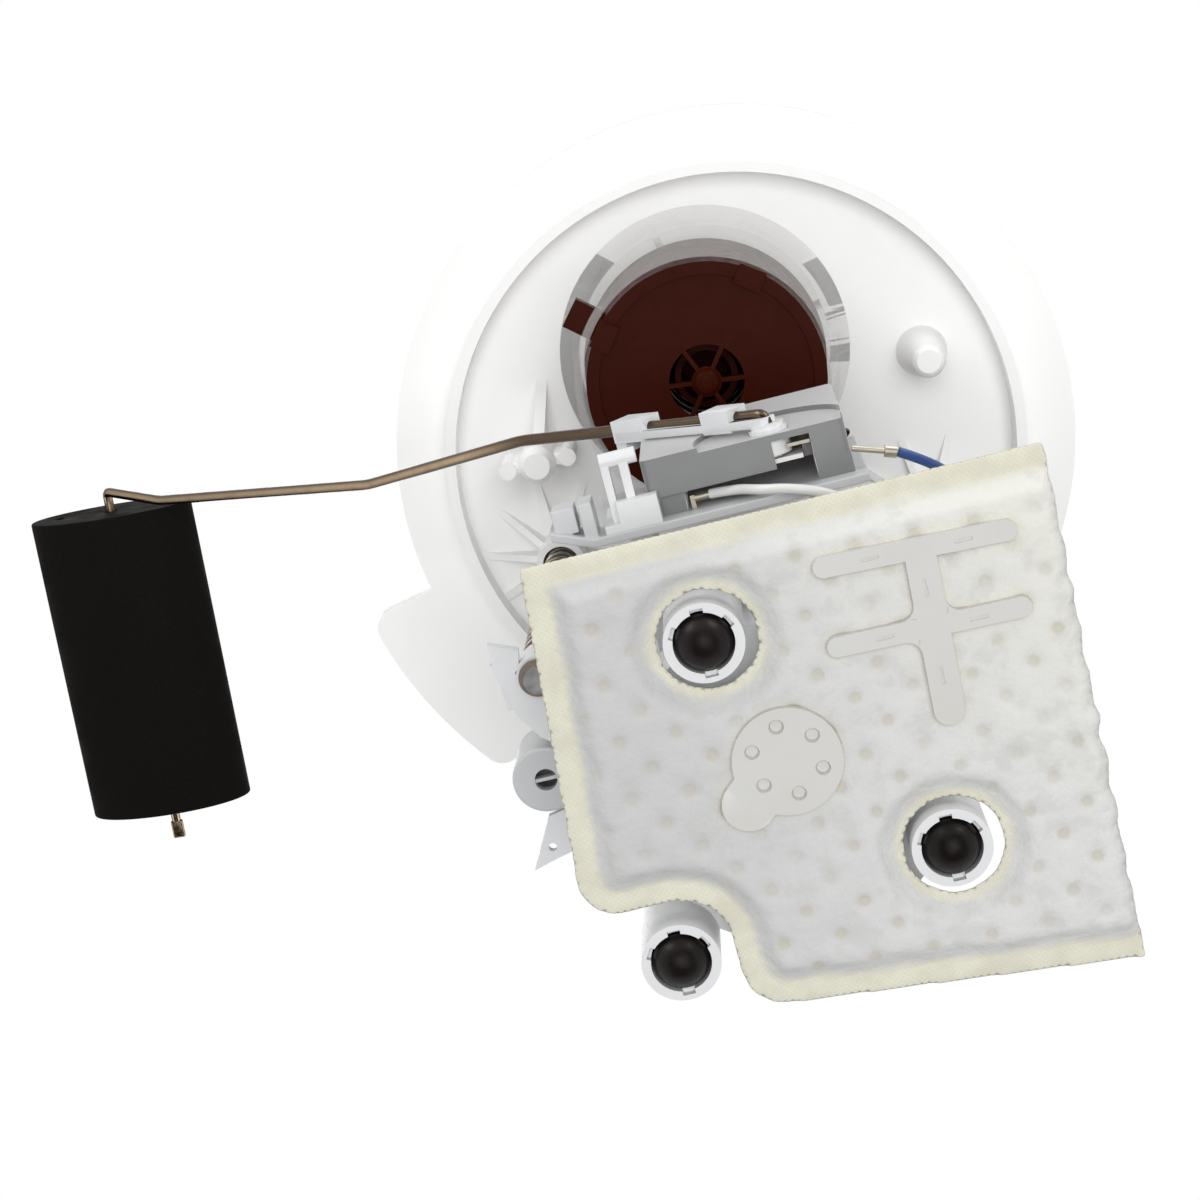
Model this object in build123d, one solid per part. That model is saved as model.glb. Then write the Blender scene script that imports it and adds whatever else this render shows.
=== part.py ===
from build123d import *
import math
import os

# Fuel pump module for a plastic tank. Millimetres, +Z up. The origin is on the flange axis at its
# sealing face; the carrier with the pump hangs below on two guide rods and stands on three feet.

# ---------------------------------------------------------------- driving dimensions
FLANGE_R = 75.0          # sealing flange, 150 mm across
FLANGE_T = 5.0
SKIRT_R = 63.4           # locating skirt that drops into the tank opening
SKIRT_WALL = 2.2
SKIRT_DEPTH = 8.0
EAR_R = 90.7             # index tab outside the flange
EAR_FROM, EAR_TO = 138.6, 168.6
EAR_T = 4.0

VENT = (-1.2, -22.8)     # vent valve axis
VENT_R_TOP, VENT_R_END = 29.2, 26.8
VENT_WALL = 1.7
VENT_DEPTH = 45.0
CAP_R, CAP_R_TOP = 24.3, 25.9        # cap skirt at its face and at its far end
CAP_TOP = -14.0
TAB_ANGLES = (40.0, 220.0)           # snap tabs that reach through the valve's wall
PAD_ANGLES = (36.0, 126.0, 218.0, 306.0)

ROD_A = (-42.6, 13.6)    # guide rods
ROD_B = (38.4, 23.6)
ROD_R = 2.5
ROD_TOP, ROD_END = 6.0, -109.0
CUP_R, CUP_WALL, CUP_DEPTH = 5.4, 1.4, 12.0      # spring cups under the flange
SPRING_WIRE = 0.9
SPRING_MEAN_R = 3.2
SPRING_TOP, SPRING_END = -0.6, -96.5
SPRING_TURNS = 22
SLEEVE_R, SLEEVE_TOP, SLEEVE_END = 4.0, -97.0, -106.0
RUNNING_GAP = 0.08

PUMP = (-2.0, 35.0)      # pump and carrier axis
PUMP_R, PUMP_WALL = 19.0, 1.2
SHELL_TOP, SHELL_END = -62.0, -122.0
CARRIER_R, CARRIER_WALL = 29.0, 2.0
CARRIER_TOP, CARRIER_END = -52.0, -135.0

FEET = ((-9.5, 4.4), (22.5, 48.8), (-26.6, 58.0))
LEG_R, LEG_BORE = 6.85, 5.2
LEG_END, LEG_TOP = -147.0, -112.0
DOME_R, DOME_TIP = 4.9, -150.0

SOCK_TOP, SOCK_END = -139.8, -146.4
SOCK_CORNERS = ((-36.7, -14.7), (52.2, -14.9), (50.5, 77.2), (-17.5, 70.5), (-17.5, 48.4), (-41.6, 48.8))
SOCK_HOLE_R = 8.2
SOCK_HOLES = ((-9.0, 4.7), (23.0, 49.4))
PLATE_END = -147.6       # underside of the plates welded to the sock
INLET = (-0.8, 27.4)
INLET_R = 9.33
LOBE = (-8.8, 33.2)
LOBE_R = 4.6

PIVOT_X, PIVOT_Z = 8.8, -113.5       # float arm pivot, axis along Y
ARM_WIRE_R = 1.1
ARM_Y = -24.7
HOLDER_REACH = 38.0                  # length of the rotor's bar, and where its two wire clips sit
HOLDER_CLIPS = (10.0, 35.0)
FLOAT_AXIS = (-0.0872, 0.9962, 0.0)
FLOAT_START = (-145.3, -21.4, 24.6)  # corner of the wire where it turns into the float
FLOAT_HALF_W, FLOAT_HALF_H = 19.15, 10.0
FLOAT_FROM, FLOAT_TO = 4.6, 77.3     # along the float axis from that corner
WIRE_TIP = 86.0

SENSOR_X0, SENSOR_X1 = -14.2, 21.9
SENSOR_FRONT, SENSOR_BACK = -22.6, -15.6
SENSOR_TOP, SENSOR_END = -84.0, -118.0
BRACKET_BACK = -10.4

FUEL_PORT = (26.0, 40.0)
FUEL_PIPE_R, FUEL_PIPE_BORE = 3.945, 2.6         # 5/16 inch quick connector pilot
VAPOUR_PIPE_R, VAPOUR_PIPE_BORE = 4.745, 3.2     # 3/8 inch quick connector pilot
PIPE_Z = 17.0
PLUG_PINS_X = (-23.5, -17.8, -12.2, -6.5)
PLUG_Y = 33.0
LEAD_R = 0.9

HOSE_R, HOSE_BORE = 5.2, 4.25
HOSE_ROUTE = ((3.0, 43.0, -45.0), (3.0, 43.0, -34.0), (9.0, 55.0, -26.0), (23.0, 57.0, -22.0),
              (29.0, 47.0, -24.0), (26.0, 40.0, -17.0), (26.0, 40.0, -3.0))
RED_ROUTE = ((-6.5, 44.0, -47.5), (-6.5, 44.0, -40.0), (-12.0, 49.0, -33.0), (-20.0, 46.0, -27.0),
             (-24.0, 38.0, -22.0), (-23.5, 33.0, -14.2))
BLACK_ROUTE = ((-11.5, 44.0, -47.5), (-11.5, 44.0, -42.0), (-15.5, 40.0, -35.0), (-18.5, 34.0, -28.0),
               (-17.8, 33.0, -20.5), (-18.3, 33.0, -13.7))
WHITE_ROUTE = ((-3.6, -13.7, -115.5), (1.0, -13.8, -117.0), (5.0, -13.7, -122.5), (10.0, -13.2, -124.8),
               (16.5, -11.0, -125.4), (24.0, -4.5, -121.5), (30.0, -0.5, -108.5), (31.5, 4.0, -94.0),
               (29.5, 8.0, -76.0),
               (26.0, 10.5, -57.0), (18.0, 13.5, -42.0), (5.0, 21.5, -31.0), (-7.5, 29.5, -25.0),
               (-12.2, 33.0, -19.5), (-12.2, 33.2, -13.7))
BLUE_ROUTE = ((30.0, -13.0, -115.6), (35.8, -9.4, -115.0), (40.0, -3.0, -107.0), (39.5, 3.5, -92.0),
              (36.5, 8.5, -74.0), (31.0, 12.5, -56.0), (22.0, 17.5, -40.0), (10.5, 24.5, -29.5),
              (-1.0, 30.5, -23.5), (-6.5, 33.0, -18.5), (-6.6, 33.2, -13.7))


# ---------------------------------------------------------------- small helpers
def disc(x, y, r, z0, z1):
    """Solid cylinder about (x, y) between two heights."""
    return Pos(x, y, (z0 + z1) / 2) * Cylinder(r, abs(z1 - z0))


def ring(x, y, r_out, r_in, z0, z1):
    """Tube about (x, y) between two heights."""
    return disc(x, y, r_out, z0, z1) - disc(x, y, r_in, z0, z1)


def taper(x, y, r_low, r_high, z_low, z_high):
    """Truncated cone about (x, y)."""
    return Pos(x, y, (z_low + z_high) / 2) * Cone(r_low, r_high, z_high - z_low)


def block(x0, x1, y0, y1, z0, z1):
    """Box between two corners."""
    middle = Pos((x0 + x1) / 2, (y0 + y1) / 2, (z0 + z1) / 2)
    return middle * Box(abs(x1 - x0), abs(y1 - y0), abs(z1 - z0))


def bar_x(x0, x1, y, z, r):
    """Round bar along X."""
    return Pos((x0 + x1) / 2, y, z) * Rot(0, 90, 0) * Cylinder(r, abs(x1 - x0))


def bar_y(y0, y1, x, z, r):
    """Round bar along Y."""
    return Pos(x, (y0 + y1) / 2, z) * Rot(90, 0, 0) * Cylinder(r, abs(y1 - y0))


def polar(r, degrees, centre=(0.0, 0.0)):
    """Point at a radius and angle about a centre."""
    angle = math.radians(degrees)
    return (centre[0] + r * math.cos(angle), centre[1] + r * math.sin(angle))


def plate(points, z0, z1):
    """Flat plate with a polygon outline between two heights."""
    outline = make_face(Polyline(*points, close=True))
    return Pos(0, 0, z0) * extrude(outline, z1 - z0)


def gusset(centre, degrees, length, height, thickness, start=0.0):
    """Triangular rib under the flange, highest at its centre end."""
    profile = make_face(Polyline((start, 0.5), (length, 0.5), (length, 0), (start, -height), close=True))
    rib = extrude(Plane.XZ * profile, thickness / 2, both=True)
    return Pos(centre[0], centre[1], 0) * Rot(0, 0, degrees) * rib


def corner_radii(route):
    """Largest arc at each corner of a route that its two runs leave room for."""
    points = [Vector(*p) for p in route]
    radii = []
    for before, corner, after in zip(points, points[1:], points[2:]):
        first, second = corner - before, after - corner
        turn = math.radians(first.get_angle(second))
        radii.append(0.45 * min(first.length, second.length) / math.tan(turn / 2))
    return radii


def cord_tube(route, r, name, bore=0.0):
    """Round cord, or hose with a bore, of straight runs joined by tangent arcs."""
    radii = corner_radii(route)
    print(name, "radii", [round(value, 1) for value in radii])
    path = FilletPolyline(*route, radius=radii)
    start = Plane(origin=path @ 0, z_dir=path % 0)
    body = sweep(start * Circle(r), path=path)
    if bore > 0:
        body -= sweep(start * Circle(bore), path=path)
    return body


# ---------------------------------------------------------------- flange and what is fixed to it
def make_star_boss(centre, first_angle):
    """Spring cup with ten radiating ribs under the flange and a closed rod socket on top."""
    boss = disc(*centre, CUP_R, -CUP_DEPTH, 0) + disc(*centre, 6.5, FLANGE_T, FLANGE_T + 5)
    for k in range(10):
        boss += gusset(centre, first_angle + 36 * k, 17.5, 9.0, 1.5)
    return boss


def make_clip_post():
    """Moulded post with two wings that holds the wiring."""
    x, y = -41.3, -10.5
    post = disc(x, y, 4.0, -20.5, 0) + taper(x, y, 2.8, 4.0, -22.5, -20.5)
    post += block(x - 7.3, x + 7.3, y - 1.3, y + 1.3, -18.5, 0)
    for side in (-1, 1):
        post += disc(x + side * 6.6, y, 1.9, -20, -8)
    return post + gusset((x, y), -76, 15.2, 20, 2.4) - block(-80, 0, -60, 20, 0, 2)


def make_flange():
    """Sealing flange with skirt, index ear, bosses and ribs, moulded in one piece."""
    body = disc(0, 0, FLANGE_R, 0, FLANGE_T)
    body = chamfer(body.edges().group_by(Axis.Z)[-1], 0.8)
    ear_corners = [polar(70, EAR_FROM), polar(EAR_R, EAR_FROM), polar(EAR_R, EAR_TO), polar(70, EAR_TO)]
    ear_middle = polar(EAR_R, (EAR_FROM + EAR_TO) / 2)
    outline = Line(ear_corners[0], ear_corners[1]) + ThreePointArc(ear_corners[1], ear_middle, ear_corners[2])
    outline += Line(ear_corners[2], ear_corners[3]) + Line(ear_corners[3], ear_corners[0])
    ear = extrude(make_face(outline), EAR_T)
    outer_corners = ear.edges().filter_by(Axis.Z).sort_by(lambda e: e.center().length)[-2:]
    body += fillet(outer_corners, 4.5)
    body += ring(0, 0, SKIRT_R, SKIRT_R - SKIRT_WALL, -SKIRT_DEPTH, 0)
    body += ring(0, 0, 68, 66.4, FLANGE_T, FLANGE_T + 3) + ring(0, 0, 57.5, 56, FLANGE_T, FLANGE_T + 2)
    for k in range(24):
        rib = Rot(0, 0, 15 * k) * block(57, 67, -0.8, 0.8, FLANGE_T, FLANGE_T + 2)
        body += rib
    body += make_star_boss(ROD_A, -60.5) + make_star_boss(ROD_B, -98.0)
    body += taper(44.8, -11.3, 3.7, 5.6, -15.4, 0) + taper(44.8, -11.3, 2.5, 3.7, -17, -15.4)
    body += disc(*VENT, 12, FLANGE_T, FLANGE_T + 5)
    body -= disc(*VENT, VAPOUR_PIPE_BORE, -1, FLANGE_T + 6)
    body -= disc(*FUEL_PORT, 4.25, -1, FLANGE_T + 1)
    for rod in (ROD_A, ROD_B):
        body -= disc(*rod, CUP_R - CUP_WALL, -CUP_DEPTH - 1, 0)
        body -= disc(*rod, ROD_R, 0, ROD_TOP)
    return body - make_terminals()


def make_vent_housing():
    """Cylinder of the vent valve, welded under the flange, with two windows for the cap's tabs."""
    x, y = VENT
    outer = taper(x, y, VENT_R_END, VENT_R_TOP, -VENT_DEPTH, 0)
    inner = taper(x, y, VENT_R_END - VENT_WALL, VENT_R_TOP - VENT_WALL, -VENT_DEPTH - 0.01, 0.01)
    foot = taper(x, y, VENT_R_TOP - 0.4, VENT_R_TOP + 2.6, -3.2, 0) - disc(x, y, VENT_R_TOP - 0.6, -4, 1)
    body = outer - inner + foot
    seat = ring(x, y, 8.0, 3.6, -6, 0)
    spokes = Part()
    for angle in TAB_ANGLES:
        window = Pos(x, y, -41) * Rot(0, 0, angle) * Pos(27, 0, 0) * Box(8, 7.0, 4.2)
        body -= window
    for k in range(4):
        spokes += Pos(x, y, -2.5) * Rot(0, 0, 81 + 90 * k) * Pos(17.5, 0, 0) * Box(20, 1.4, 5)
    return body + seat + spokes


def make_vent_cap():
    """Lower cap of the vent valve with a deep skirt, a spoked centre and two snap tabs."""
    x, y = VENT
    face = -VENT_DEPTH - 1.5
    body = taper(x, y, CAP_R, CAP_R_TOP, face, CAP_TOP)
    body -= taper(x, y, CAP_R - 1.4, CAP_R_TOP - 1.5, face + 2.2, CAP_TOP + 0.1)
    body -= disc(x, y, CAP_R - 2.6, face - 1, face + 0.7)
    body -= ring(x, y, 7.6, 3.05, face - 1, face + 4)
    for k in range(6):
        arm = Pos(x, y, face + 1.4) * Rot(0, 0, 6.6 + 60 * k) * Pos(5.4, 0, 0) * Box(5.6, 0.9, 1.6)
        body += arm
    for angle in TAB_ANGLES:
        tab = Pos(x, y, -41) * Rot(0, 0, angle) * Pos(27.4, 0, 0) * Box(7.2, 6.2, 3.2)
        body += tab
    for angle in PAD_ANGLES:
        pad = Pos(x, y, face + 0.4) * Rot(0, 0, angle) * Pos(22.6, 0, 0) * Box(4.2, 5.8, 1.8)
        body += pad
    hub = Pos(x, y, face + 1.6) * Sphere(3.0) & disc(x, y, 3.05, face - 1.2, face + 2.2)
    body += hub
    return body


def make_vent_float():
    """Hollow float that shuts the vent when the tank is full or rolls over."""
    x, y = VENT
    body = ring(x, y, 19.5, 17.9, -37, -13) + disc(x, y, 19.5, -14.6, -13) + disc(x, y, 4.0, -13, -10.2)
    return body + ring(x, y, 6.5, 5.2, -37, -14)


def make_vent_seat():
    """Rubber tip of the vent float."""
    return taper(*VENT, 5.0, 3.2, -10.2, -8.0)


def make_helix_spring(x, y, mean_r, wire_r, z0, z1, turns):
    """Round-wire compression spring."""
    pitch = (z1 - z0) / turns
    path = Pos(x, y, z0) * Helix(pitch, z1 - z0, mean_r)
    start = Plane(origin=path @ 0, z_dir=path % 0)
    return sweep(start * Circle(wire_r), path=path, is_frenet=True)


def make_pipe_end(r, bore, reach, axis_rotation):
    """Quick-connector pipe that leaves a riser, with its retaining bead."""
    pipe = Pos(0, 0, reach / 2) * Cylinder(r, reach)
    pipe += Pos(0, 0, reach - 13) * Cylinder(r + 1.4, 2.2)
    pipe -= Pos(0, 0, reach / 2 + 3) * Cylinder(bore, reach)
    return axis_rotation * pipe


def make_vapour_fitting():
    """Elbow on top of the vent valve."""
    x, y = VENT
    low, high = FLANGE_T + 5, PIPE_Z + 7.5
    body = disc(x, y, 9.5, low, low + 2) + disc(x, y, 7.0, low, high)
    body = fillet(body.edges().group_by(Axis.Z)[-1], 2.5)
    body += Pos(x, y, PIPE_Z) * make_pipe_end(VAPOUR_PIPE_R, VAPOUR_PIPE_BORE, 43, Rot(90, 0, 0))
    body -= disc(x, y, VAPOUR_PIPE_BORE, low - 1, PIPE_Z)
    return body - Pos(x, y, PIPE_Z) * Rot(90, 0, 0) * Pos(0, 0, 10) * Cylinder(VAPOUR_PIPE_BORE, 20)


def make_fuel_fitting():
    """Outlet elbow, with the hose spigot that reaches through the flange."""
    x, y = FUEL_PORT
    high = PIPE_Z + 6.5
    body = disc(x, y, 8.0, FLANGE_T, FLANGE_T + 2) + disc(x, y, 6.2, FLANGE_T, high)
    body = fillet(body.edges().group_by(Axis.Z)[-1], 2.2)
    body += disc(x, y, 4.1, -14, FLANGE_T)
    body += Pos(x, y, PIPE_Z) * make_pipe_end(FUEL_PIPE_R, FUEL_PIPE_BORE, 34, Rot(0, 90, 0))
    body -= disc(x, y, FUEL_PIPE_BORE, -15, PIPE_Z)
    return body - bar_x(x, x + 20, y, PIPE_Z, FUEL_PIPE_BORE)


def make_connector_shell():
    """Four-way plug socket on top of the flange."""
    x0, x1, y0, y1 = -30.0, 0.0, PLUG_Y - 8.5, PLUG_Y + 8.5
    outer = block(x0, x1, y0, y1, FLANGE_T, 27)
    outer = fillet(outer.edges().filter_by(Axis.Z), 4.0)
    inner = block(x0 + 1.8, x1 - 1.8, y0 + 1.8, y1 - 1.8, FLANGE_T + 3, 28)
    inner = fillet(inner.edges().filter_by(Axis.Z), 2.4)
    latch = block(-18.5, -11.5, y1, y1 + 2.2, 15, 24)
    latch += block(-18.5, -11.5, y1, y1 + 3.6, 20, 22)
    return outer - inner + latch - make_terminals()


def make_terminals():
    """Four blade terminals through the flange."""
    blades = Part()
    for x in PLUG_PINS_X:
        blades += block(x - 1.2, x + 1.2, PLUG_Y - 0.4, PLUG_Y + 0.4, -8, 22)
    return blades


def make_harness_plug():
    """Plug of the inner harness, pushed on the terminals under the flange."""
    body = block(-27.5, -2.5, PLUG_Y - 4.5, PLUG_Y + 4.5, -13.5, -0.4)
    body = fillet(body.edges().filter_by(Axis.Z), 1.5)
    return body - make_terminals()


# ---------------------------------------------------------------- carrier
def make_carrier():
    """Pump carrier: cup, three legs, two guide sleeves and the sensor rails, moulded in one piece."""
    x, y = PUMP
    body = disc(x, y, CARRIER_R, CARRIER_END, CARRIER_TOP)
    for foot in FEET:
        body += disc(*foot, LEG_R, LEG_END, LEG_TOP)
    for rod, reach in ((ROD_A, 28.0), (ROD_B, 27.0)):
        direction = math.degrees(math.atan2(rod[1] - y, rod[0] - x))
        span = math.hypot(rod[0] - x, rod[1] - y)
        web = Pos(x, y, 0) * Rot(0, 0, direction) * block(reach, span, -1.5, 1.5, SLEEVE_END, SLEEVE_TOP)
        body += web + disc(*rod, SLEEVE_R, SLEEVE_END, SLEEVE_TOP)
    for x0 in (-19.0, 13.0):
        body += block(x0, x0 + 4, BRACKET_BACK, 13, -118, -100)
    body += block(-42.0, -30.0, 33.3, 36.3, -99.5, -88) - disc(-46.9, 34.8, 6.33, -101, -86)
    body += plate(((-30.0, 38.6), (-48.2, 41.9), (-53.5, 51.7), (-48.4, 50.3), (-29, 46)), -99.8, -98)
    body -= disc(x, y, CARRIER_R - CARRIER_WALL, CARRIER_END + CARRIER_WALL, CARRIER_TOP + 1)
    body -= disc(*INLET, 8.4, CARRIER_END - 1, CARRIER_END + 3)
    body -= disc(-49.0, 48.0, 0.8, -101, -97)
    for degrees in (20, 100, 222, 260):
        window = Pos(x, y, -80) * Rot(0, 0, degrees) * Pos(CARRIER_R, 0, 0) * Box(8, 13, 26)
        body -= window
    for foot in FEET:
        body -= disc(*foot, LEG_BORE, LEG_END - 1, LEG_END + 11)
        for degrees in (-150, -90, -30, 90):
            notch = Pos(*foot, LEG_END) * Rot(0, 0, degrees) * Pos(LEG_BORE, 0, 0) * Box(1.4, 2.2, 3.0)
            body -= notch
    for rod in (ROD_A, ROD_B):
        body -= disc(*rod, ROD_R + RUNNING_GAP, SLEEVE_END - 1, SLEEVE_TOP + 1)
    return body


def make_carrier_cover():
    """Snap-on cover that holds the pump down in the carrier."""
    x, y = PUMP
    body = disc(x, y, CARRIER_R + 1.6, CARRIER_TOP, CARRIER_TOP + 2)
    body += ring(x, y, CARRIER_R + 1.6, CARRIER_R + 0.05, CARRIER_TOP - 5, CARRIER_TOP)
    body -= disc(x, y, 14.0, CARRIER_TOP - 1, CARRIER_TOP + 3)
    body -= block(-15.8, -2.2, 39.8, 48.2, CARRIER_TOP - 1, CARRIER_TOP + 3)
    body -= disc(*VENT, VENT_R_TOP, CARRIER_TOP - 6, CARRIER_TOP + 3)
    for k in range(8):
        body -= disc(*polar(21.5, 22.5 + 45 * k, PUMP), 3.2, CARRIER_TOP - 1, CARRIER_TOP + 3)
    return body


def make_rubber_feet():
    """Three rubber feet: plugs with a domed end."""
    feet = []
    for x, y in FEET:
        dome_centre = DOME_TIP + DOME_R
        dome = Pos(x, y, dome_centre) * Sphere(DOME_R) & disc(x, y, DOME_R, DOME_TIP - 1, dome_centre)
        feet.append(dome + disc(x, y, DOME_R, dome_centre, LEG_END + 8))
    return Compound(feet)


def make_rod_clip(rod):
    """Push-on retaining ring at the end of a guide rod."""
    return ring(*rod, 3.5, ROD_R, SLEEVE_END - 1.0, SLEEVE_END - 0.1)


def make_latch_strip():
    """Latch arm with a T-shaped end beside the left guide sleeve."""
    arm = plate(((-51.0, 10.2), (-48.6, 20.6), (-45.4, 25.6), (-40.0, 30.0), (-32.0, 30.0),
                 (-32.0, 26.0), (-40.5, 20.4), (-47.0, 12.6)), -103, -100.6)
    head = plate(((-50.6, 6.3), (-45.2, 8.6), (-45.8, 11.2), (-47.2, 13.2), (-50.6, 12.0)), -103, -100.6)
    lip = block(-50.4, -48.8, 11.0, 20.0, -100.6, -97.5)
    body = arm + head + lip
    body -= disc(*ROD_A, SLEEVE_R, -104, -96)
    return body - disc(*PUMP, CARRIER_R, -104, -96)


def make_regulator_cup():
    """Round housing of the pressure regulator on the carrier's left side."""
    x, y = -46.9, 34.8
    body = disc(x, y, 6.33, -100, -86.5)
    body = fillet(body.edges().group_by(Axis.Z)[0], 0.6)
    body -= disc(x, y, 4.6, -97.5, -86)
    body -= disc(x, y, 2.1, -101, -97)
    body += block(x - 2.4, x + 2.4, y - 0.35, y + 0.35, -99.4, -97.5)
    return body


def make_regulator_cover():
    """Lid of the pressure regulator."""
    x, y = -46.9, 34.8
    return disc(x, y, 6.33, -86.5, -85) + disc(x, y, 3.2, -85, -78) - disc(x, y, 1.8, -84, -77)


# ---------------------------------------------------------------- pump
def make_pump_case():
    """Steel shell, open at both ends and rolled in."""
    x, y = PUMP
    body = ring(x, y, PUMP_R, PUMP_R - PUMP_WALL, SHELL_END, SHELL_TOP)
    return body


def make_pump_inlet():
    """Inlet housing of the pump, with the impeller chamber."""
    x, y = PUMP
    body = disc(x, y, PUMP_R - PUMP_WALL, -122, -118) + disc(x, y, PUMP_R - 0.5, -129.5, -122)
    body -= disc(x, y, 15.2, -126.5, -121.5)
    body -= disc(x, y, 2.08, -130, -117)
    body += ring(*INLET, 6.6, 5.0, -132.5, -129.5)
    return body - disc(*INLET, 5.0, -133, -126)


def make_pump_outlet():
    """Outlet end of the pump with its nipple and brush holders."""
    x, y = PUMP
    body = disc(x, y, PUMP_R - 0.5, SHELL_TOP, -54) + disc(x, y, PUMP_R - PUMP_WALL, -66, SHELL_TOP)
    body = body - disc(x, y, 14.5, -67, -58) + disc(x, y, 4.4, -60, -56)
    body += disc(3.0, 43.0, 4.2, -56, -38)
    body -= disc(3.0, 43.0, 2.9, -54.5, -37)
    body -= disc(3.0, 43.0, 1.5, -60, -53)
    body -= disc(x, y, 2.08, -61, -57)
    for side in (-1, 1):
        body += block(x + side * 7.6, x + side * 14.8, y - 3.2, y + 3.2, -70, -62)
        body -= block(x + side * 7.0, x + side * 13.6, y - 2.0, y + 2.0, -68.6, -64.0)
    return body


def make_pump_plug():
    """Plug of the pump leads on the pump's outlet end."""
    body = block(-15, -3, 40.5, 47.5, -54, -47.5)
    return fillet(body.edges().filter_by(Axis.Z), 1.0)


def make_magnets():
    """Two curved motor magnets inside the shell."""
    x, y = PUMP
    body = ring(x, y, PUMP_R - PUMP_WALL, 15.2, -114, -72)
    return body - block(x - 25, x + 25, y - 4.5, y + 4.5, -115, -71)


def make_shaft():
    """Motor shaft."""
    return disc(*PUMP, 2.0, -128.5, -57)


def make_armature():
    """Laminated armature core with slots."""
    x, y = PUMP
    body = disc(x, y, 14.6, -110, -78)
    for k in range(8):
        body -= disc(*polar(11.0, 45 * k, PUMP), 2.6, -111, -77)
        body -= Pos(x, y, -94) * Rot(0, 0, 45 * k) * Pos(13.4, 0, 0) * Box(4, 1.4, 34)
    return body - disc(x, y, 2.0, -111, -77)


def make_windings():
    """Copper windings, one bundle in each armature slot and their end turns."""
    x, y = PUMP
    body = ring(x, y, 13.0, 5.0, -114, -110.2) + ring(x, y, 13.0, 7.5, -77.8, -74.5)
    for k in range(8):
        body += disc(*polar(11.0, 45 * k, PUMP), 2.3, -111, -77)
    return body


def make_commutator():
    """Commutator with eight bars."""
    x, y = PUMP
    body = ring(x, y, 7.0, 2.0, -74.3, -63)
    for k in range(8):
        body -= Pos(x, y, -68) * Rot(0, 0, 22.5 + 45 * k) * Pos(6.6, 0, 0) * Box(1.6, 0.5, 9)
    return body


def make_impeller():
    """Turbine impeller."""
    x, y = PUMP
    body = disc(x, y, 14.8, -126.2, -122.6)
    for k in range(30):
        body -= Pos(x, y, -124.4) * Rot(0, 0, 12 * k) * Pos(14.2, 0, 0) * Box(2.4, 1.3, 5)
    return body - disc(x, y, 2.0, -127, -122)


def make_brushes():
    """Two carbon brushes."""
    x, y = PUMP
    body = Part()
    for side in (-1, 1):
        body += block(x + side * 7.06, x + side * 11.6, y - 1.9, y + 1.9, -68.4, -64.2)
    return body


def make_isolator(z0, z1, r_in):
    """Rubber ring that holds the pump in the carrier."""
    return ring(*PUMP, CARRIER_R - CARRIER_WALL, r_in, z0, z1)


# ---------------------------------------------------------------- sock
def make_sock():
    """Strainer bag as one plain closed solid with its two leg holes."""
    outline = make_face(Polyline(*SOCK_CORNERS, close=True))
    body = Pos(0, 0, SOCK_END) * extrude(outline, SOCK_TOP - SOCK_END)
    corners = body.edges().filter_by(Axis.Z)
    body = fillet([e for e in corners if e.center().X < -10 and e.center().Y > 40], 7.0)
    for hole in SOCK_HOLES:
        body -= disc(*hole, SOCK_HOLE_R, SOCK_END - 1, SOCK_TOP + 1)
    return body


def make_inlet_plate():
    """Six-hole plate welded to the sock under the pump inlet."""
    body = disc(*INLET, INLET_R, PLATE_END, SOCK_END) + disc(*LOBE, LOBE_R, PLATE_END, SOCK_END)
    bridge = plate(((-8.0, 24.0), (2.0, 34.0), (-6.5, 37.2), (-13.0, 31.4)), PLATE_END, SOCK_END)
    body += bridge
    for k in range(6):
        body -= disc(*polar(6.0, -95 + 60 * k, INLET), 1.36, PLATE_END - 1, SOCK_END + 1)
    return body


def make_sock_spreader():
    """Cross-shaped spreader that keeps the two layers of the sock apart."""
    body = Part()
    for y0 in (-3.0, 10.5):
        body += block(12.5, 42.5, y0 - 1.75, y0 + 1.75, PLATE_END, SOCK_END)
        body += disc(12.5, y0, 1.75, PLATE_END, SOCK_END) + disc(42.5, y0, 1.75, PLATE_END, SOCK_END)
    body += block(25.2, 30.4, -4.0, 25.5, PLATE_END, SOCK_END)
    body += disc(27.8, 25.5, 2.6, PLATE_END, SOCK_END)
    for x0, y0 in ((20.0, -3.0), (35.5, -3.0), (19.6, 10.5), (35.3, 10.5)):
        body -= block(x0 - 1.6, x0 + 1.6, y0 - 0.35, y0 + 0.35, PLATE_END - 1, SOCK_END + 1)
    for y0 in (4.0, 18.5):
        body -= block(27.45, 28.15, y0 - 1.6, y0 + 1.6, PLATE_END - 1, SOCK_END + 1)
    return body


def make_sock_neck():
    """Neck that joins the sock to the pump inlet."""
    body = ring(*INLET, 7.9, 6.7, SOCK_TOP, -131) + ring(*INLET, 11.5, 6.7, SOCK_TOP, SOCK_TOP + 1.6)
    return body


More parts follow.
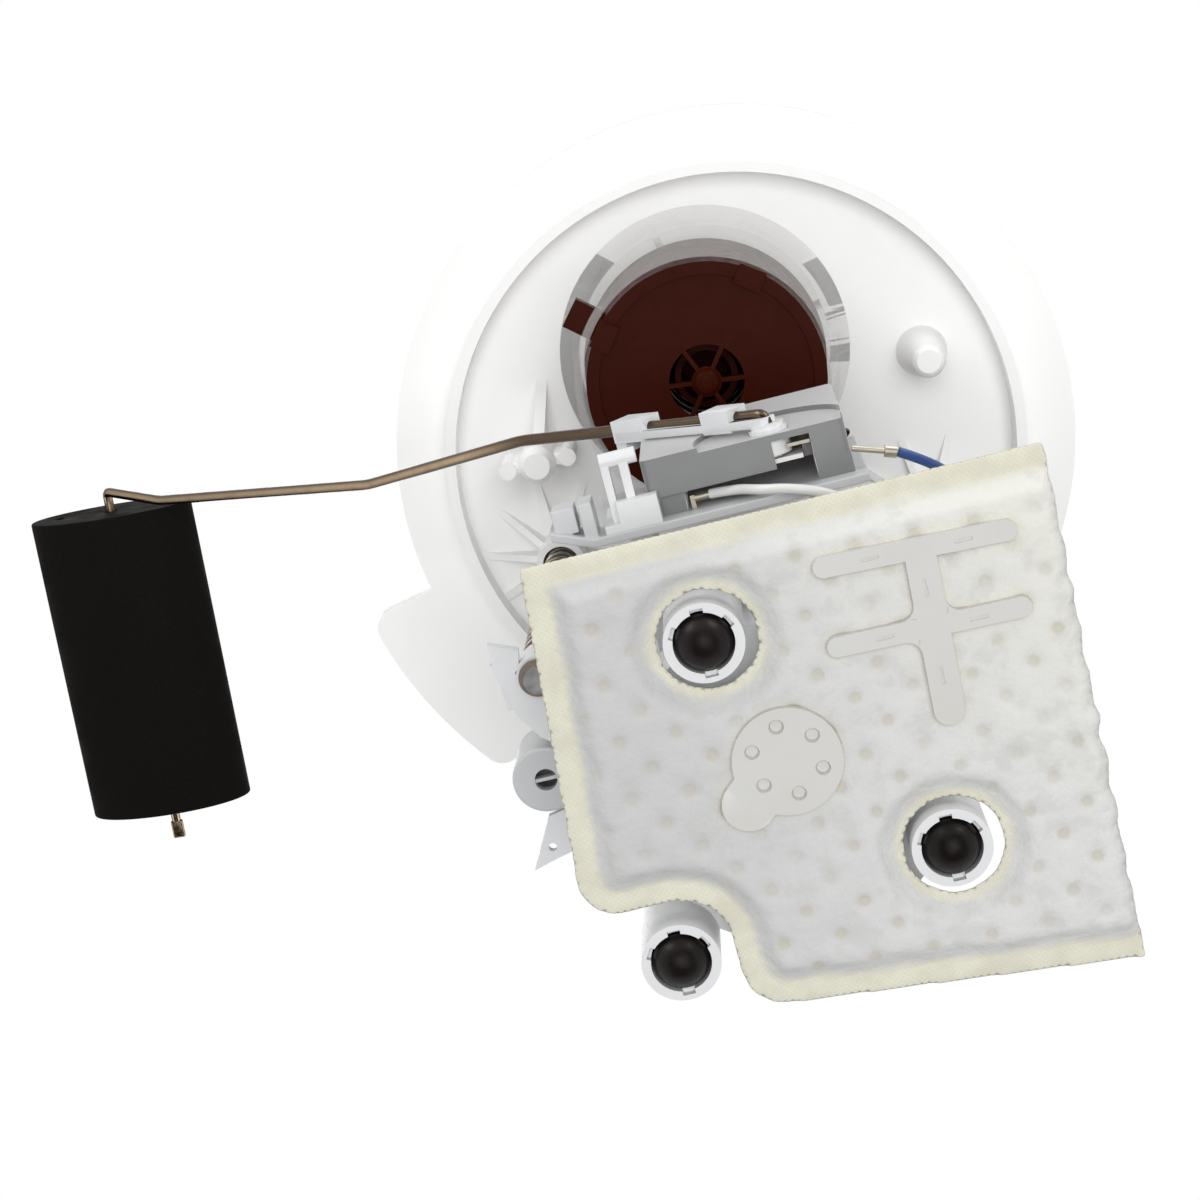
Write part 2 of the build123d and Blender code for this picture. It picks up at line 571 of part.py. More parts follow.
# ---------------------------------------------------------------- level sensor and float arm
def make_sensor_housing():
    """Sensor housing with its front pocket, contact window and two feet."""
    body = block(SENSOR_X0, SENSOR_X1, SENSOR_FRONT, SENSOR_BACK, SENSOR_END, SENSOR_TOP)
    body = fillet(body.edges().filter_by(Axis.Y), 1.0)
    body += block(15.6, SENSOR_X1, SENSOR_BACK, -12.0, SENSOR_END, SENSOR_TOP)
    body += block(-12.3, -8.0, SENSOR_BACK, -12.0, SENSOR_END + 1, SENSOR_TOP - 1)
    body -= block(-12.2, 14.0, -20.6, SENSOR_BACK + 0.01, -116.2, -86)
    pocket = bar_y(SENSOR_FRONT - 1, SENSOR_FRONT + 0.9, PIVOT_X, PIVOT_Z, 13.5)
    body -= pocket
    body -= bar_y(SENSOR_FRONT - 1, -20, PIVOT_X, PIVOT_Z, 3.5 + 0.06)
    body -= block(8.8, 15.6, -20.5, SENSOR_BACK + 1, -119, -112)
    return body


def make_resistor_card():
    """Ceramic card with the resistor track."""
    return block(-12.0, 13.8, -17.0, -16.2, -116.0, -86.2)


def make_resistor_track():
    """Arc of contact pads on the card."""
    track = bar_y(-17.15, -17.0, PIVOT_X, PIVOT_Z, 17.5) - bar_y(-17.3, -16.9, PIVOT_X, PIVOT_Z, 15.0)
    return track & block(-11.5, 6.0, -17.2, -16.9, -112, -90)


def make_sensor_contact():
    """Brass terminal of the sensor in its window, with its lead tail."""
    return block(11.4, 15.4, -19.4, -18.8, -117.4, -112.5)


def bar_between(start, end, r, share0=0.0, share1=1.0):
    """Round bar over part of the line between two points."""
    start, run = Vector(*start), Vector(*end) - Vector(*start)
    place = Plane(origin=start + run * (share0 + share1) / 2, z_dir=run).location
    return place * Cylinder(r, run.length * (share1 - share0))


def make_lead_crimps():
    """Crimped tips where the two sender leads meet the sensor."""
    tail_start, white_tip = (22.2, -15.6, -115.6), WHITE_ROUTE[0]
    blue = bar_between(tail_start, BLUE_ROUTE[0], 0.55, 0.0, 0.7)
    blue += bar_between(tail_start, BLUE_ROUTE[0], 1.1, 0.7, 0.96)
    x, y, z = white_tip
    white = bar_x(x - 3.0, x - 0.3, y, z, 0.8) + block(x - 3.6, x - 2.8, y - 0.6, -12.0, z - 0.7, z + 0.7)
    return blue + white


def make_sensor_bracket():
    """Mounting plate between the sensor and the carrier rails."""
    body = block(-25, 24, -12.0, BRACKET_BACK, -122, SENSOR_TOP)
    body += plate(((-25, -12.0), (-25, BRACKET_BACK), (-32.2, -13.2), (-32.2, -14.8)), -122, -112)
    body += block(-26.4, -24.0, -18.2, -11.0, -121, -113)
    body += block(-31.4, -27.2, -18.0, -13.4, -120, -114)
    return body


def make_stop_fork():
    """Fork on the mounting plate whose cross bar stops the float arm at its lowest position."""
    body = bar_x(-21.0, -14.5, -24.2, -117.8, 1.4)
    body += block(-17.8, -16.2, -24.2, -12.0, -119.0, -116.6)
    body += block(-21.0, -19.6, -24.2, -12.0, -119.0, -116.6)
    body += block(-19.7, -12.5, -17.1, -12.0, -121.5, -118.2)
    return body + block(-22.6, -14.0, -13.4, -12.0, -121.5, -104)


def arm_point(reach, across, y):
    """Point in the arm's plane: distance from the pivot along the arm, and across it."""
    angle = math.radians(41.8)
    x = PIVOT_X - reach * math.cos(angle) + across * math.sin(angle)
    z = PIVOT_Z + reach * math.sin(angle) + across * math.cos(angle)
    return (x, y, z)


def arm_block(reach0, reach1, across0, across1, y0, y1):
    """Box lined up with the float arm."""
    centre = arm_point((reach0 + reach1) / 2, (across0 + across1) / 2, (y0 + y1) / 2)
    size = Box(reach1 - reach0, y1 - y0, across1 - across0)
    return Pos(*centre) * Rot(0, 41.8, 0) * size


def make_arm_wire():
    """Float arm: one bent wire from the pivot to the float."""
    axis = Vector(*FLOAT_AXIS)
    tip = Vector(*FLOAT_START) + axis * (WIRE_TIP - 4)
    route = ((PIVOT_X, -17.9, PIVOT_Z), (PIVOT_X, ARM_Y, PIVOT_Z), (-38.0, -24.2, -71.7),
             (-74.6, -18.0, -39.0), (-130.5, -18.4, 11.0), FLOAT_START, tuple(tip))
    path = FilletPolyline(*route, radius=(2.6, 6.0, 6.0, 3.0, 2.2))
    start = Plane(origin=path @ 0, z_dir=path % 0)
    body = sweep(start * Circle(ARM_WIRE_R), path=path)
    flat_end = Plane(origin=tip, z_dir=axis).location * Pos(0, 0, 2) * Box(2.9, 1.3, 4)
    return body + flat_end


def make_arm_holder(wire):
    """Rotor that carries the float arm: shaft, hub, bar and two wire clips."""
    body = bar_y(-23.4, -22.2, PIVOT_X, PIVOT_Z, 4.2) + bar_y(-22.2, -20.0, PIVOT_X, PIVOT_Z, 3.5)
    body += bar_y(-20.0, -17.6, PIVOT_X, PIVOT_Z, 2.0)
    body += arm_block(0, HOLDER_REACH, -2.6, 1.4, -24.4, -22.9)
    for reach in HOLDER_CLIPS:
        body += arm_block(reach - 2.8, reach + 2.8, -2.6, 2.6, -26.6, -22.9)
    return body - wire


def make_wiper():
    """Contact fingers of the rotor, which run on the resistor card."""
    return arm_block(0, 17.4, -1.2, 1.2, -17.6, -17.3) + bar_y(-17.6, -17.3, PIVOT_X, PIVOT_Z, 2.5)


def make_float():
    """Foam float with an oval section, bored for the wire."""
    base = Plane(origin=FLOAT_START, z_dir=FLOAT_AXIS, x_dir=(0.9962, 0.0872, 0))
    section = base.offset(FLOAT_FROM) * (Ellipse(FLOAT_HALF_W, FLOAT_HALF_H) - Circle(ARM_WIRE_R + RUNNING_GAP))
    return extrude(section, FLOAT_TO - FLOAT_FROM)


# ---------------------------------------------------------------- write every piece
def build_all():
    """Every node of the module by name."""
    wire = make_arm_wire()
    nodes = {
        "flange": make_flange(),
        "clip_post": make_clip_post(),
        "vent_valve_housing": make_vent_housing(),
        "vent_valve_cap": make_vent_cap(),
        "vent_float": make_vent_float(),
        "vent_float_seat": make_vent_seat(),
        "vent_float_spring": make_helix_spring(*VENT, 9.0, 0.5, -43.7, -15.2, 6),
        "vapour_fitting": make_vapour_fitting(),
        "fuel_outlet_fitting": make_fuel_fitting(),
        "connector_shell": make_connector_shell(),
        "terminals": make_terminals(),
        "harness_plug": make_harness_plug(),
        "guide_rod_left": disc(*ROD_A, ROD_R, ROD_END, ROD_TOP),
        "guide_rod_right": disc(*ROD_B, ROD_R, ROD_END, ROD_TOP),
        "rod_clips": make_rod_clip(ROD_A) + make_rod_clip(ROD_B),
        "carrier": make_carrier(),
        "carrier_cover": make_carrier_cover(),
        "latch_strip": make_latch_strip(),
        "rubber_feet": make_rubber_feet(),
        "regulator_cup": make_regulator_cup(),
        "regulator_cover": make_regulator_cover(),
        "pump_case": make_pump_case(),
        "pump_inlet_housing": make_pump_inlet(),
        "pump_outlet_housing": make_pump_outlet(),
        "pump_plug": make_pump_plug(),
        "pump_magnets": make_magnets(),
        "motor_shaft": make_shaft(),
        "armature_core": make_armature(),
        "armature_windings": make_windings(),
        "commutator": make_commutator(),
        "impeller": make_impeller(),
        "brushes": make_brushes(),
        "isolator_lower": make_isolator(-128, -123, PUMP_R - 0.5),
        "isolator_upper": make_isolator(-72, -66, PUMP_R),
        "check_valve_ball": Pos(3.0, 43.0, -52.5) * Sphere(2.2),
        "check_valve_spring": make_helix_spring(3.0, 43.0, 2.0, 0.25, -50.2, -42.5, 6),
        "sock": make_sock(),
        "sock_inlet_plate": make_inlet_plate(),
        "sock_spreader": make_sock_spreader(),
        "sock_neck": make_sock_neck(),
        "sensor_housing": make_sensor_housing(),
        "sensor_bracket": make_sensor_bracket(),
        "arm_stop": make_stop_fork(),
        "resistor_card": make_resistor_card(),
        "resistor_track": make_resistor_track(),
        "sensor_contact": make_sensor_contact(),
        "lead_crimps": make_lead_crimps(),
        "arm_wire": wire,
        "arm_holder": make_arm_holder(wire),
        "wiper": make_wiper(),
        "float": make_float(),
        "fuel_hose": cord_tube(HOSE_ROUTE, HOSE_R, "fuel_hose", HOSE_BORE),
        "hose_clamp_lower": ring(3.0, 43.0, 6.6, HOSE_R, -45, -41),
        "hose_clamp_upper": ring(*FUEL_PORT, 6.6, HOSE_R, -9, -5),
        "lead_red": cord_tube(RED_ROUTE, LEAD_R, "lead_red"),
        "lead_black": cord_tube(BLACK_ROUTE, LEAD_R, "lead_black"),
        "lead_white": cord_tube(WHITE_ROUTE, LEAD_R, "lead_white"),
        "lead_blue": cord_tube(BLUE_ROUTE, LEAD_R, "lead_blue"),
    }
    for side, rod in (("left", ROD_A), ("right", ROD_B)):
        nodes["guide_spring_" + side] = make_helix_spring(
            *rod, SPRING_MEAN_R, SPRING_WIRE / 2, SPRING_END, SPRING_TOP, SPRING_TURNS)
    return nodes


def main():
    """Build the module and write one STEP file for each node."""
    os.makedirs("parts", exist_ok=True)
    for name, shape in build_all().items():
        export_step(shape, "parts/" + name + ".step")


main()
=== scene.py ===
import math

import bmesh
import bpy
from bpy.props import FloatProperty, FloatVectorProperty, IntProperty, PointerProperty
from mathutils import Matrix, Vector, noise
from mathutils.geometry import delaunay_2d_cdt


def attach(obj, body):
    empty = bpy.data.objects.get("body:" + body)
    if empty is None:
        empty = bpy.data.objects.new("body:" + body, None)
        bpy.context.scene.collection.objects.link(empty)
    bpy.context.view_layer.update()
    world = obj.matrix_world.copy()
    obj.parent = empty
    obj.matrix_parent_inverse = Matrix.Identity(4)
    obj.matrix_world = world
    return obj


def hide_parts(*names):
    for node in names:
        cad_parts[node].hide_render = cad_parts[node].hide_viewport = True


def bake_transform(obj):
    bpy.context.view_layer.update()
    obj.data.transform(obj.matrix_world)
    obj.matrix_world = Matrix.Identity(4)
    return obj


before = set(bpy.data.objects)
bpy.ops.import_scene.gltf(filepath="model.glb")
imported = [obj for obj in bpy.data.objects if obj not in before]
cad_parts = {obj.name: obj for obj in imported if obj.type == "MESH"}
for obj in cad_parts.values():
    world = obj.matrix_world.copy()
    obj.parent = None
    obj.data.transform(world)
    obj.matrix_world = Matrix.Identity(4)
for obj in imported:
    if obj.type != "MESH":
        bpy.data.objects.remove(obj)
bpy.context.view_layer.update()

bl_info = {
    "name": "Fuel Pump Module",
    "version": (1, 0, 0),
    "blender": (4, 5, 0),
    "location": "3D View > Sidebar > Fuel Pump",
    "description": "Builds the looks of an in-tank fuel pump module on its packed frame",
    "category": "Object",
}

MM = 0.001
FLANGE = "flange_body"
CARRIER = "carrier_body"

# ---------------------------------------------------------------- places shared with the CAD, in millimetres
ROD_LEFT = (-42.6, 13.6)
ROD_RIGHT = (38.4, 23.6)
VENT = (-1.2, -22.8)
SOCK_CORNERS = (      # x, y, corner radius, and width of the seam that follows or 0 for the folded edge
    (-36.7, -14.7, 0.6, 4.3),
    (52.2, -14.9, 0.6, 0.0),
    (50.5, 77.2, 0.6, 4.7),
    (-17.5, 70.5, 8.0, 4.4),
    (-17.5, 48.4, 8.5, 4.4),
    (-41.6, 48.8, 7.0, 4.8),
)
SOCK_HOLES = ((-9.0, 4.7), (23.0, 49.4))
SOCK_HOLE_R = 8.2
SOCK_MID = -143.3
WELD_ORIGIN = Vector((-22.8, 23.5))      # one spot weld, and the two steps between neighbouring ones
WELD_STEPS = (Vector((4.81, 5.25)), Vector((5.17, -4.88)))
PLATE_LOW, PLATE_HIGH = -147.5, -145.9
BELOW_PLATES = -148.0
INLET = (-0.8, 27.4)
INLET_R = 9.33
INLET_LOBE = ((-8.8, 33.2), (-5.9, 30.6), 9.2)      # the strips are given by start, end and width
LOBE_WEB = ((-8.4, 30.0), (-3.2, 34.6), 3.4)
SPREADER = {
    "spreader": ((12.4, -3.4), (42.7, -2.3), 3.45),
    "bar_low": ((11.7, 10.2), (42.4, 10.8), 3.45),
    "bar_long": ((28.2, -0.9), (27.2, 25.0), 5.2),
}
ARM_PIVOT = (8.8, -113.5)      # x and z
ARM_SLOPE = math.radians(41.8)
FLOAT_CORNER = Vector((-145.3, -21.4, 24.6))
FLOAT_AXIS = Vector((-0.0872, 0.9962, 0.0)).normalized()
FLOAT_SIDE = Vector((0.9962, 0.0872, 0.0))
FLOAT_START = 4.6              # from the corner along the axis to the float's near end
FLOAT_LENGTH = 72.7

ARM_ROUTE = ((8.8, -17.9, -113.5), (8.8, -24.7, -113.5), (-38.0, -24.2, -71.7), (-74.6, -18.0, -39.0),
             (-130.5, -18.4, 11.0), (-145.3, -21.4, 24.6))

HOSE_ROUTE = ((3.0, 43.0, -45.0), (3.0, 43.0, -34.0), (9.0, 55.0, -26.0), (23.0, 57.0, -22.0),
              (29.0, 47.0, -24.0), (26.0, 40.0, -17.0), (26.0, 40.0, -3.0))
LEADS = {
    "lead_red": ((-6.5, 44.0, -47.5), (-6.5, 44.0, -40.0), (-12.0, 49.0, -33.0), (-20.0, 46.0, -27.0),
                 (-24.0, 38.0, -22.0), (-23.5, 33.0, -14.2)),
    "lead_black": ((-11.5, 44.0, -47.5), (-11.5, 44.0, -42.0), (-15.5, 40.0, -35.0), (-18.5, 34.0, -28.0),
                   (-17.8, 33.0, -20.5), (-18.3, 33.0, -13.7)),
    "lead_white": ((-3.6, -13.7, -115.5), (1.0, -13.8, -117.0), (5.0, -13.7, -122.5), (10.0, -13.2, -124.8),
                   (16.5, -11.0, -125.4), (24.0, -4.5, -121.5), (30.0, -0.5, -108.5), (31.5, 4.0, -94.0),
                   (29.5, 8.0, -76.0), (26.0, 10.5, -57.0), (18.0, 13.5, -42.0), (5.0, 21.5, -31.0),
                   (-7.5, 29.5, -25.0), (-12.2, 33.0, -19.5), (-12.2, 33.2, -13.7)),
    "lead_blue": ((30.0, -13.0, -115.6), (35.8, -9.4, -115.0), (40.0, -3.0, -107.0), (39.5, 3.5, -92.0),
                  (36.5, 8.5, -74.0), (31.0, 12.5, -56.0), (22.0, 17.5, -40.0), (10.5, 24.5, -29.5),
                  (-1.0, 30.5, -23.5), (-6.5, 33.0, -18.5), (-6.6, 33.2, -13.7)),
}


# ---------------------------------------------------------------- settings
def colour(name, text, value):
    """A colour that the user can change."""
    return FloatVectorProperty(name=name, description=text, default=value, size=3, min=0, max=1,
                               subtype="COLOR")


def length(name, text, value, low, high):
    """A length that the user can change, with its limits, all in millimetres."""
    return FloatProperty(name=name, description=text, default=value * MM, min=low * MM, max=high * MM,
                         unit="LENGTH")


def power(name, text, value):
    """A lamp's power that the user can change."""
    return FloatProperty(name=name, description=text, default=value, min=0, max=100, unit="POWER")


class PlasticSettings(bpy.types.PropertyGroup):
    white: colour("White plastic", "Moulded acetal of the carrier", (0.75, 0.755, 0.765))
    flange_white: colour("Flange plastic", "Acetal of the large flange", (0.93, 0.93, 0.925))
    brown: colour("Brown plastic", "Cap of the vent valve", (0.037, 0.0045, 0.0012))
    grey: colour("Grey plastic", "Housing of the level sensor", (0.205, 0.208, 0.212))
    clear: colour("Clear plastic", "Unfilled plastic of the vent valve cylinder", (0.86, 0.85, 0.82))


class SockSettings(bpy.types.PropertyGroup):
    felt: colour("Felt", "Outer layer of the sock", (0.69, 0.69, 0.685))
    mesh: colour("Seam mesh", "Welded edge of the sock", (0.74, 0.725, 0.60))
    weld_radius: length("Weld radius", "Radius of a spot weld", 0.75, 0.3, 2)
    spacing: length("Mesh spacing", "Distance between the cloth's points", 1.3, 0.8, 3)
    loft: length("Loft", "Half thickness of the felt at its spot welds", 2.05, 0.5, 3)
    crown: length("Crown", "Half thickness that the felt never passes", 2.95, 0.5, 3.5)


class FloatSettings(bpy.types.PropertyGroup):
    foam: colour("Foam", "Closed-cell foam of the float", (0.0045, 0.0040, 0.0034))
    half_width: length("Half width", "Half of the float's long axis", 19.1, 10, 30)
    half_height: length("Half height", "Half of the float's short axis", 9.95, 5, 20)


class SpringSettings(bpy.types.PropertyGroup):
    turns: IntProperty(name="Turns", description="Coils of a guide spring", default=22, min=5, max=60)
    wire: length("Wire", "Diameter of the guide spring's wire", 0.9, 0.3, 2)
    mean_radius: length("Mean radius", "Radius of the wire's centre line", 3.2, 2, 6)


class StageSettings(bpy.types.PropertyGroup):
    lens: FloatProperty(name="Lens", description="Focal length of the camera in millimetres", default=75.0,
                        min=20, max=200)
    key_power: power("Soft boxes", "Power of each of the two front soft boxes", 3.8)
    low_power: power("Low light", "Power of the soft box under the module", 42.0)
    top_power: power("Top light", "Power of the soft box over the flange", 3.6)
    ambient: FloatProperty(name="Ambient", description="Strength of the even light from all sides",
                           default=0.42, min=0, max=2)


# ---------------------------------------------------------------- modelling helpers
def clamp(value, low=0.0, high=1.0):
    """A value held between two limits."""
    return max(low, min(high, value))


def nothing_selected():
    """Leave edit mode and deselect every object."""
    active = bpy.context.view_layer.objects.active
    if active and active.mode != "OBJECT":
        bpy.ops.object.mode_set(mode="OBJECT")
    bpy.ops.object.select_all(action="DESELECT")


def work_on(piece):
    """Make a piece the only selected and active object."""
    nothing_selected()
    piece.select_set(True)
    bpy.context.view_layer.objects.active = piece


def settle(name):
    """Name the new primitive and put its place into its mesh."""
    piece = bpy.context.active_object
    piece.name = name
    bpy.ops.object.transform_apply(location=True, rotation=True, scale=True)
    return piece


def add_block(name, low, high):
    """Box between two corners in millimetres."""
    nothing_selected()
    low, high = Vector(low) * MM, Vector(high) * MM
    bpy.ops.mesh.primitive_cube_add(size=1, location=(low + high) / 2, scale=high - low)
    return settle(name)


def add_bar(name, start, end, radius, sides=32, end_radius=None):
    """Round or tapered bar between two points in millimetres."""
    nothing_selected()
    start, end = Vector(start) * MM, Vector(end) * MM
    turn = (end - start).to_track_quat("Z", "Y").to_euler()
    far = radius if end_radius is None else end_radius
    bpy.ops.mesh.primitive_cone_add(vertices=sides, radius1=radius * MM, radius2=far * MM,
                                    depth=(end - start).length, location=(start + end) / 2, rotation=turn)
    return settle(name)


def add_arm_block(name, along, across, y):
    """Box lined up with the float arm: its spans along and across the arm, and along Y."""
    nothing_selected()
    reach, side, depth = (sum(along) / 2, sum(across) / 2, sum(y) / 2)
    c, s = math.cos(ARM_SLOPE), math.sin(ARM_SLOPE)
    place = Vector((ARM_PIVOT[0] - reach * c + side * s, depth, ARM_PIVOT[1] + reach * s + side * c)) * MM
    size = Vector((along[1] - along[0], y[1] - y[0], across[1] - across[0])) * MM
    bpy.ops.mesh.primitive_cube_add(size=1, location=place, rotation=(0, ARM_SLOPE, 0), scale=size)
    return settle(name)


def pick(piece, kind, test):
    """Go into edit mode with only the faces or edges selected that pass the test."""
    work_on(piece)
    bpy.ops.object.mode_set(mode="EDIT")
    bpy.ops.mesh.select_mode(type=kind)
    bpy.ops.mesh.select_all(action="DESELECT")
    shape = bmesh.from_edit_mesh(piece.data)
    if kind == "FACE":
        for face in shape.faces:
            face.select_set(test(face.calc_center_median() / MM, face.normal))
    else:
        for edge in shape.edges:
            middle = (edge.verts[0].co + edge.verts[1].co) / 2 / MM
            edge.select_set(test(middle, (edge.verts[1].co - edge.verts[0].co).normalized()))
    bmesh.update_edit_mesh(piece.data)


def done_editing():
    """Back to object mode."""
    bpy.ops.object.mode_set(mode="OBJECT")


def modify(piece, kind, **settings):
    """Add a modifier, set it and apply it."""
    work_on(piece)
    modifier = piece.modifiers.new(kind.title(), kind)
    for key, value in settings.items():
        setattr(modifier, key, value)
    bpy.ops.object.modifier_apply(modifier=modifier.name)
    return piece


def round_edges(piece, width, segments=2, angle=35):
    """Round a piece's sharp edges by a width in millimetres."""
    return modify(piece, "BEVEL", width=width * MM, segments=segments, limit_method="ANGLE",
                  angle_limit=math.radians(angle), use_clamp_overlap=True)


def combine(piece, others, operation="UNION"):
    """Add the others to a piece, or cut them out of it, and remove them."""
    for other in others:
        modify(piece, "BOOLEAN", object=other, operation=operation, solver="EXACT")
        bpy.data.objects.remove(other, do_unlink=True)
    return piece


def cut(piece, others):
    """Cut the others out of a piece."""
    return combine(piece, others, "DIFFERENCE")


def smooth(piece, angle=40):
    """Smooth shading, with edges sharper than the angle kept."""
    work_on(piece)
    bpy.ops.object.shade_smooth_by_angle(angle=math.radians(angle))
    return piece


def dress(piece, material, body, slot, replaced=()):
    """Give a finished piece its material, its body and the nodes it stands for, which it hides; the slot is
    not used.
    """
    piece.data.materials.clear()
    piece.data.materials.append(bpy.data.materials[material])
    if body:
        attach(piece, body)
    if replaced:
        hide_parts(*replaced)
    return piece


def softened_copy(node, width, segments=2):
    """A node's own shape with its mesh merged and its sharp edges rounded."""
    piece = bpy.data.objects.new(node + "_moulded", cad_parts[node].data.copy())
    bpy.context.scene.collection.objects.link(piece)
    work_on(piece)
    bpy.ops.object.mode_set(mode="EDIT")
    bpy.ops.mesh.select_all(action="SELECT")
    bpy.ops.mesh.remove_doubles(threshold=0.002 * MM)
    bpy.ops.mesh.dissolve_limited(angle_limit=math.radians(0.6))
    bpy.ops.object.mode_set(mode="OBJECT")
    round_edges(piece, width, segments, 40)
    smooth(piece, 38)
    return modify(piece, "WEIGHTED_NORMAL", keep_sharp=True)


# ---------------------------------------------------------------- shader helpers
def new_group(name, inputs, outputs):
    """Empty node group with a vector input, numbers or colours by their defaults, and its outputs."""
    group = bpy.data.node_groups.new(name, "ShaderNodeTree")
    group.interface.new_socket("Vector", in_out="INPUT", socket_type="NodeSocketVector")
    for socket, value in inputs.items():
        kind = "NodeSocketColor" if isinstance(value, tuple) else "NodeSocketFloat"
        group.interface.new_socket(socket, in_out="INPUT", socket_type=kind).default_value = value
    for socket in outputs:
        kind = "NodeSocketColor" if socket == "Color" else "NodeSocketFloat"
        group.interface.new_socket(socket, in_out="OUTPUT", socket_type=kind)
    return group, group.nodes.new("NodeGroupInput"), group.nodes.new("NodeGroupOutput")


def add_node(tree, kind, **settings):
    """Node with its settings; a value for a socket is given as in_NAME or by number as in_0."""
    node = tree.nodes.new("ShaderNode" + kind)
    for key, value in settings.items():
        if key.startswith("in_"):
            socket = key[3:]
            socket = int(socket) if socket.isdigit() else socket.replace("_", " ")
            node.inputs[socket].default_value = value
        else:
            setattr(node, key, value)
    return node


def noise_value(tree, vector, scale, detail=3.0, rough=0.6):
    """Noise texture's value output on a vector."""
    node = add_node(tree, "TexNoise", in_Scale=scale, in_Detail=detail, in_Roughness=rough)
    tree.links.new(vector, node.inputs["Vector"])
    return node.outputs["Fac"]


def ramp(tree, value, low, high, out_low=0.0, out_high=1.0):
    """Remap a value smoothly."""
    node = add_node(tree, "MapRange", interpolation_type="SMOOTHSTEP")
    for number, limit in enumerate((low, high, out_low, out_high), start=1):
        node.inputs[number].default_value = limit
    tree.links.new(value, node.inputs[0])
    return node.outputs[0]


def calc(tree, operation, first, second):
    """Math node on two sockets or numbers."""
    node = add_node(tree, "Math", operation=operation)
    for number, value in enumerate((first, second)):
        if isinstance(value, (int, float)):
            node.inputs[number].default_value = value
        else:
            tree.links.new(value, node.inputs[number])
    return node.outputs[0]


def mix_colours(tree, mask, first, second):
    """Mix of two colours, each a socket or a tuple, by a mask."""
    node = add_node(tree, "Mix", data_type="RGBA")
    for value, number in ((mask, 0), (first, 6), (second, 7)):
        if isinstance(value, (int, float)):
            node.inputs[number].default_value = value
        elif isinstance(value, tuple):
            node.inputs[number].default_value = (*value[:3], 1)
        else:
            tree.links.new(value, node.inputs[number])
    return node.outputs[2]


def axes_of(tree, vector):
    """The three numbers of a vector, as sockets."""
    parts = add_node(tree, "SeparateXYZ")
    tree.links.new(vector, parts.inputs[0])
    return parts.outputs


def make_moulded_group():
    """Moulded surface: faint flow tone, fine grain and scuffs that dull the gloss."""
    group, start, end = new_group(
        "Moulded Surface",
        {"Color": (0.8, 0.8, 0.8, 1), "Tone": (0.7, 0.7, 0.68, 1), "Tone Amount": 0.3, "Roughness": 0.4,
         "Scuffs": 0.2},
        ("Color", "Roughness", "Height"))
    vector = start.outputs["Vector"]
    cloud = ramp(group, noise_value(group, vector, 55.0, 4.0), 0.35, 0.72)
    tone = calc(group, "MULTIPLY", cloud, start.outputs["Tone Amount"])
    shade = mix_colours(group, tone, start.outputs["Color"], start.outputs["Tone"])
    group.links.new(shade, end.inputs["Color"])
    scratch = ramp(group, noise_value(group, vector, 420.0, 5.0, 0.7), 0.45, 0.7)
    dull = calc(group, "MULTIPLY", scratch, start.outputs["Scuffs"])
    group.links.new(calc(group, "ADD", start.outputs["Roughness"], dull), end.inputs["Roughness"])
    grain = noise_value(group, vector, 2600.0, 2.0)
    wave = calc(group, "MULTIPLY", cloud, 2.0)
    group.links.new(calc(group, "ADD", grain, wave), end.inputs["Height"])
    return group


def make_fibre_group():
    """Bonded fibres: cloudy density, short crossed fibres and their height."""
    group, start, end = new_group(
        "Bonded Fibres",
        {"Color": (0.8, 0.8, 0.8, 1), "Shade": (0.6, 0.6, 0.6, 1), "Density": 0.5},
        ("Color", "Height"))
    vector = start.outputs["Vector"]
    cloud = ramp(group, noise_value(group, vector, 130.0, 5.0, 0.65), 0.38, 0.68)
    height = None
    for turn in (0.4, 1.5, 2.5):
        spread = add_node(group, "Mapping")
        spread.inputs["Rotation"].default_value = (0, 0, turn)
        spread.inputs["Scale"].default_value = (2400, 260, 1200)
        group.links.new(vector, spread.inputs["Vector"])
        strands = noise_value(group, spread.outputs[0], 1.0, 2.0)
        height = strands if height is None else calc(group, "ADD", height, strands)
    fine = ramp(group, height, 1.25, 1.8)
    dense = calc(group, "ADD", calc(group, "MULTIPLY", fine, 0.45), cloud)
    mask = calc(group, "MULTIPLY", dense, start.outputs["Density"])
    shade = mix_colours(group, mask, start.outputs["Color"], start.outputs["Shade"])
    group.links.new(shade, end.inputs["Color"])
    group.links.new(height, end.inputs["Height"])
    return group


def make_weave_group():
    """Plain woven mesh: crossing threads with small open holes between them."""
    group, start, end = new_group("Woven Mesh", {"Pitch": 0.0006}, ("Holes", "Height"))
    turn = add_node(group, "Mapping")
    turn.inputs["Rotation"].default_value = (0, 0, math.radians(45))
    group.links.new(start.outputs["Vector"], turn.inputs["Vector"])
    across = axes_of(group, turn.outputs[0])
    waves = []
    for axis in (0, 1):
        phase = calc(group, "DIVIDE", across[axis], start.outputs["Pitch"])
        wave = calc(group, "SINE", calc(group, "MULTIPLY", phase, math.pi), 0)
        waves.append(calc(group, "ABSOLUTE", wave, 0))
    threads = calc(group, "MAXIMUM", waves[0], waves[1])
    group.links.new(threads, end.inputs["Height"])
    group.links.new(ramp(group, threads, 0.75, 0.35), end.inputs["Holes"])
    return group


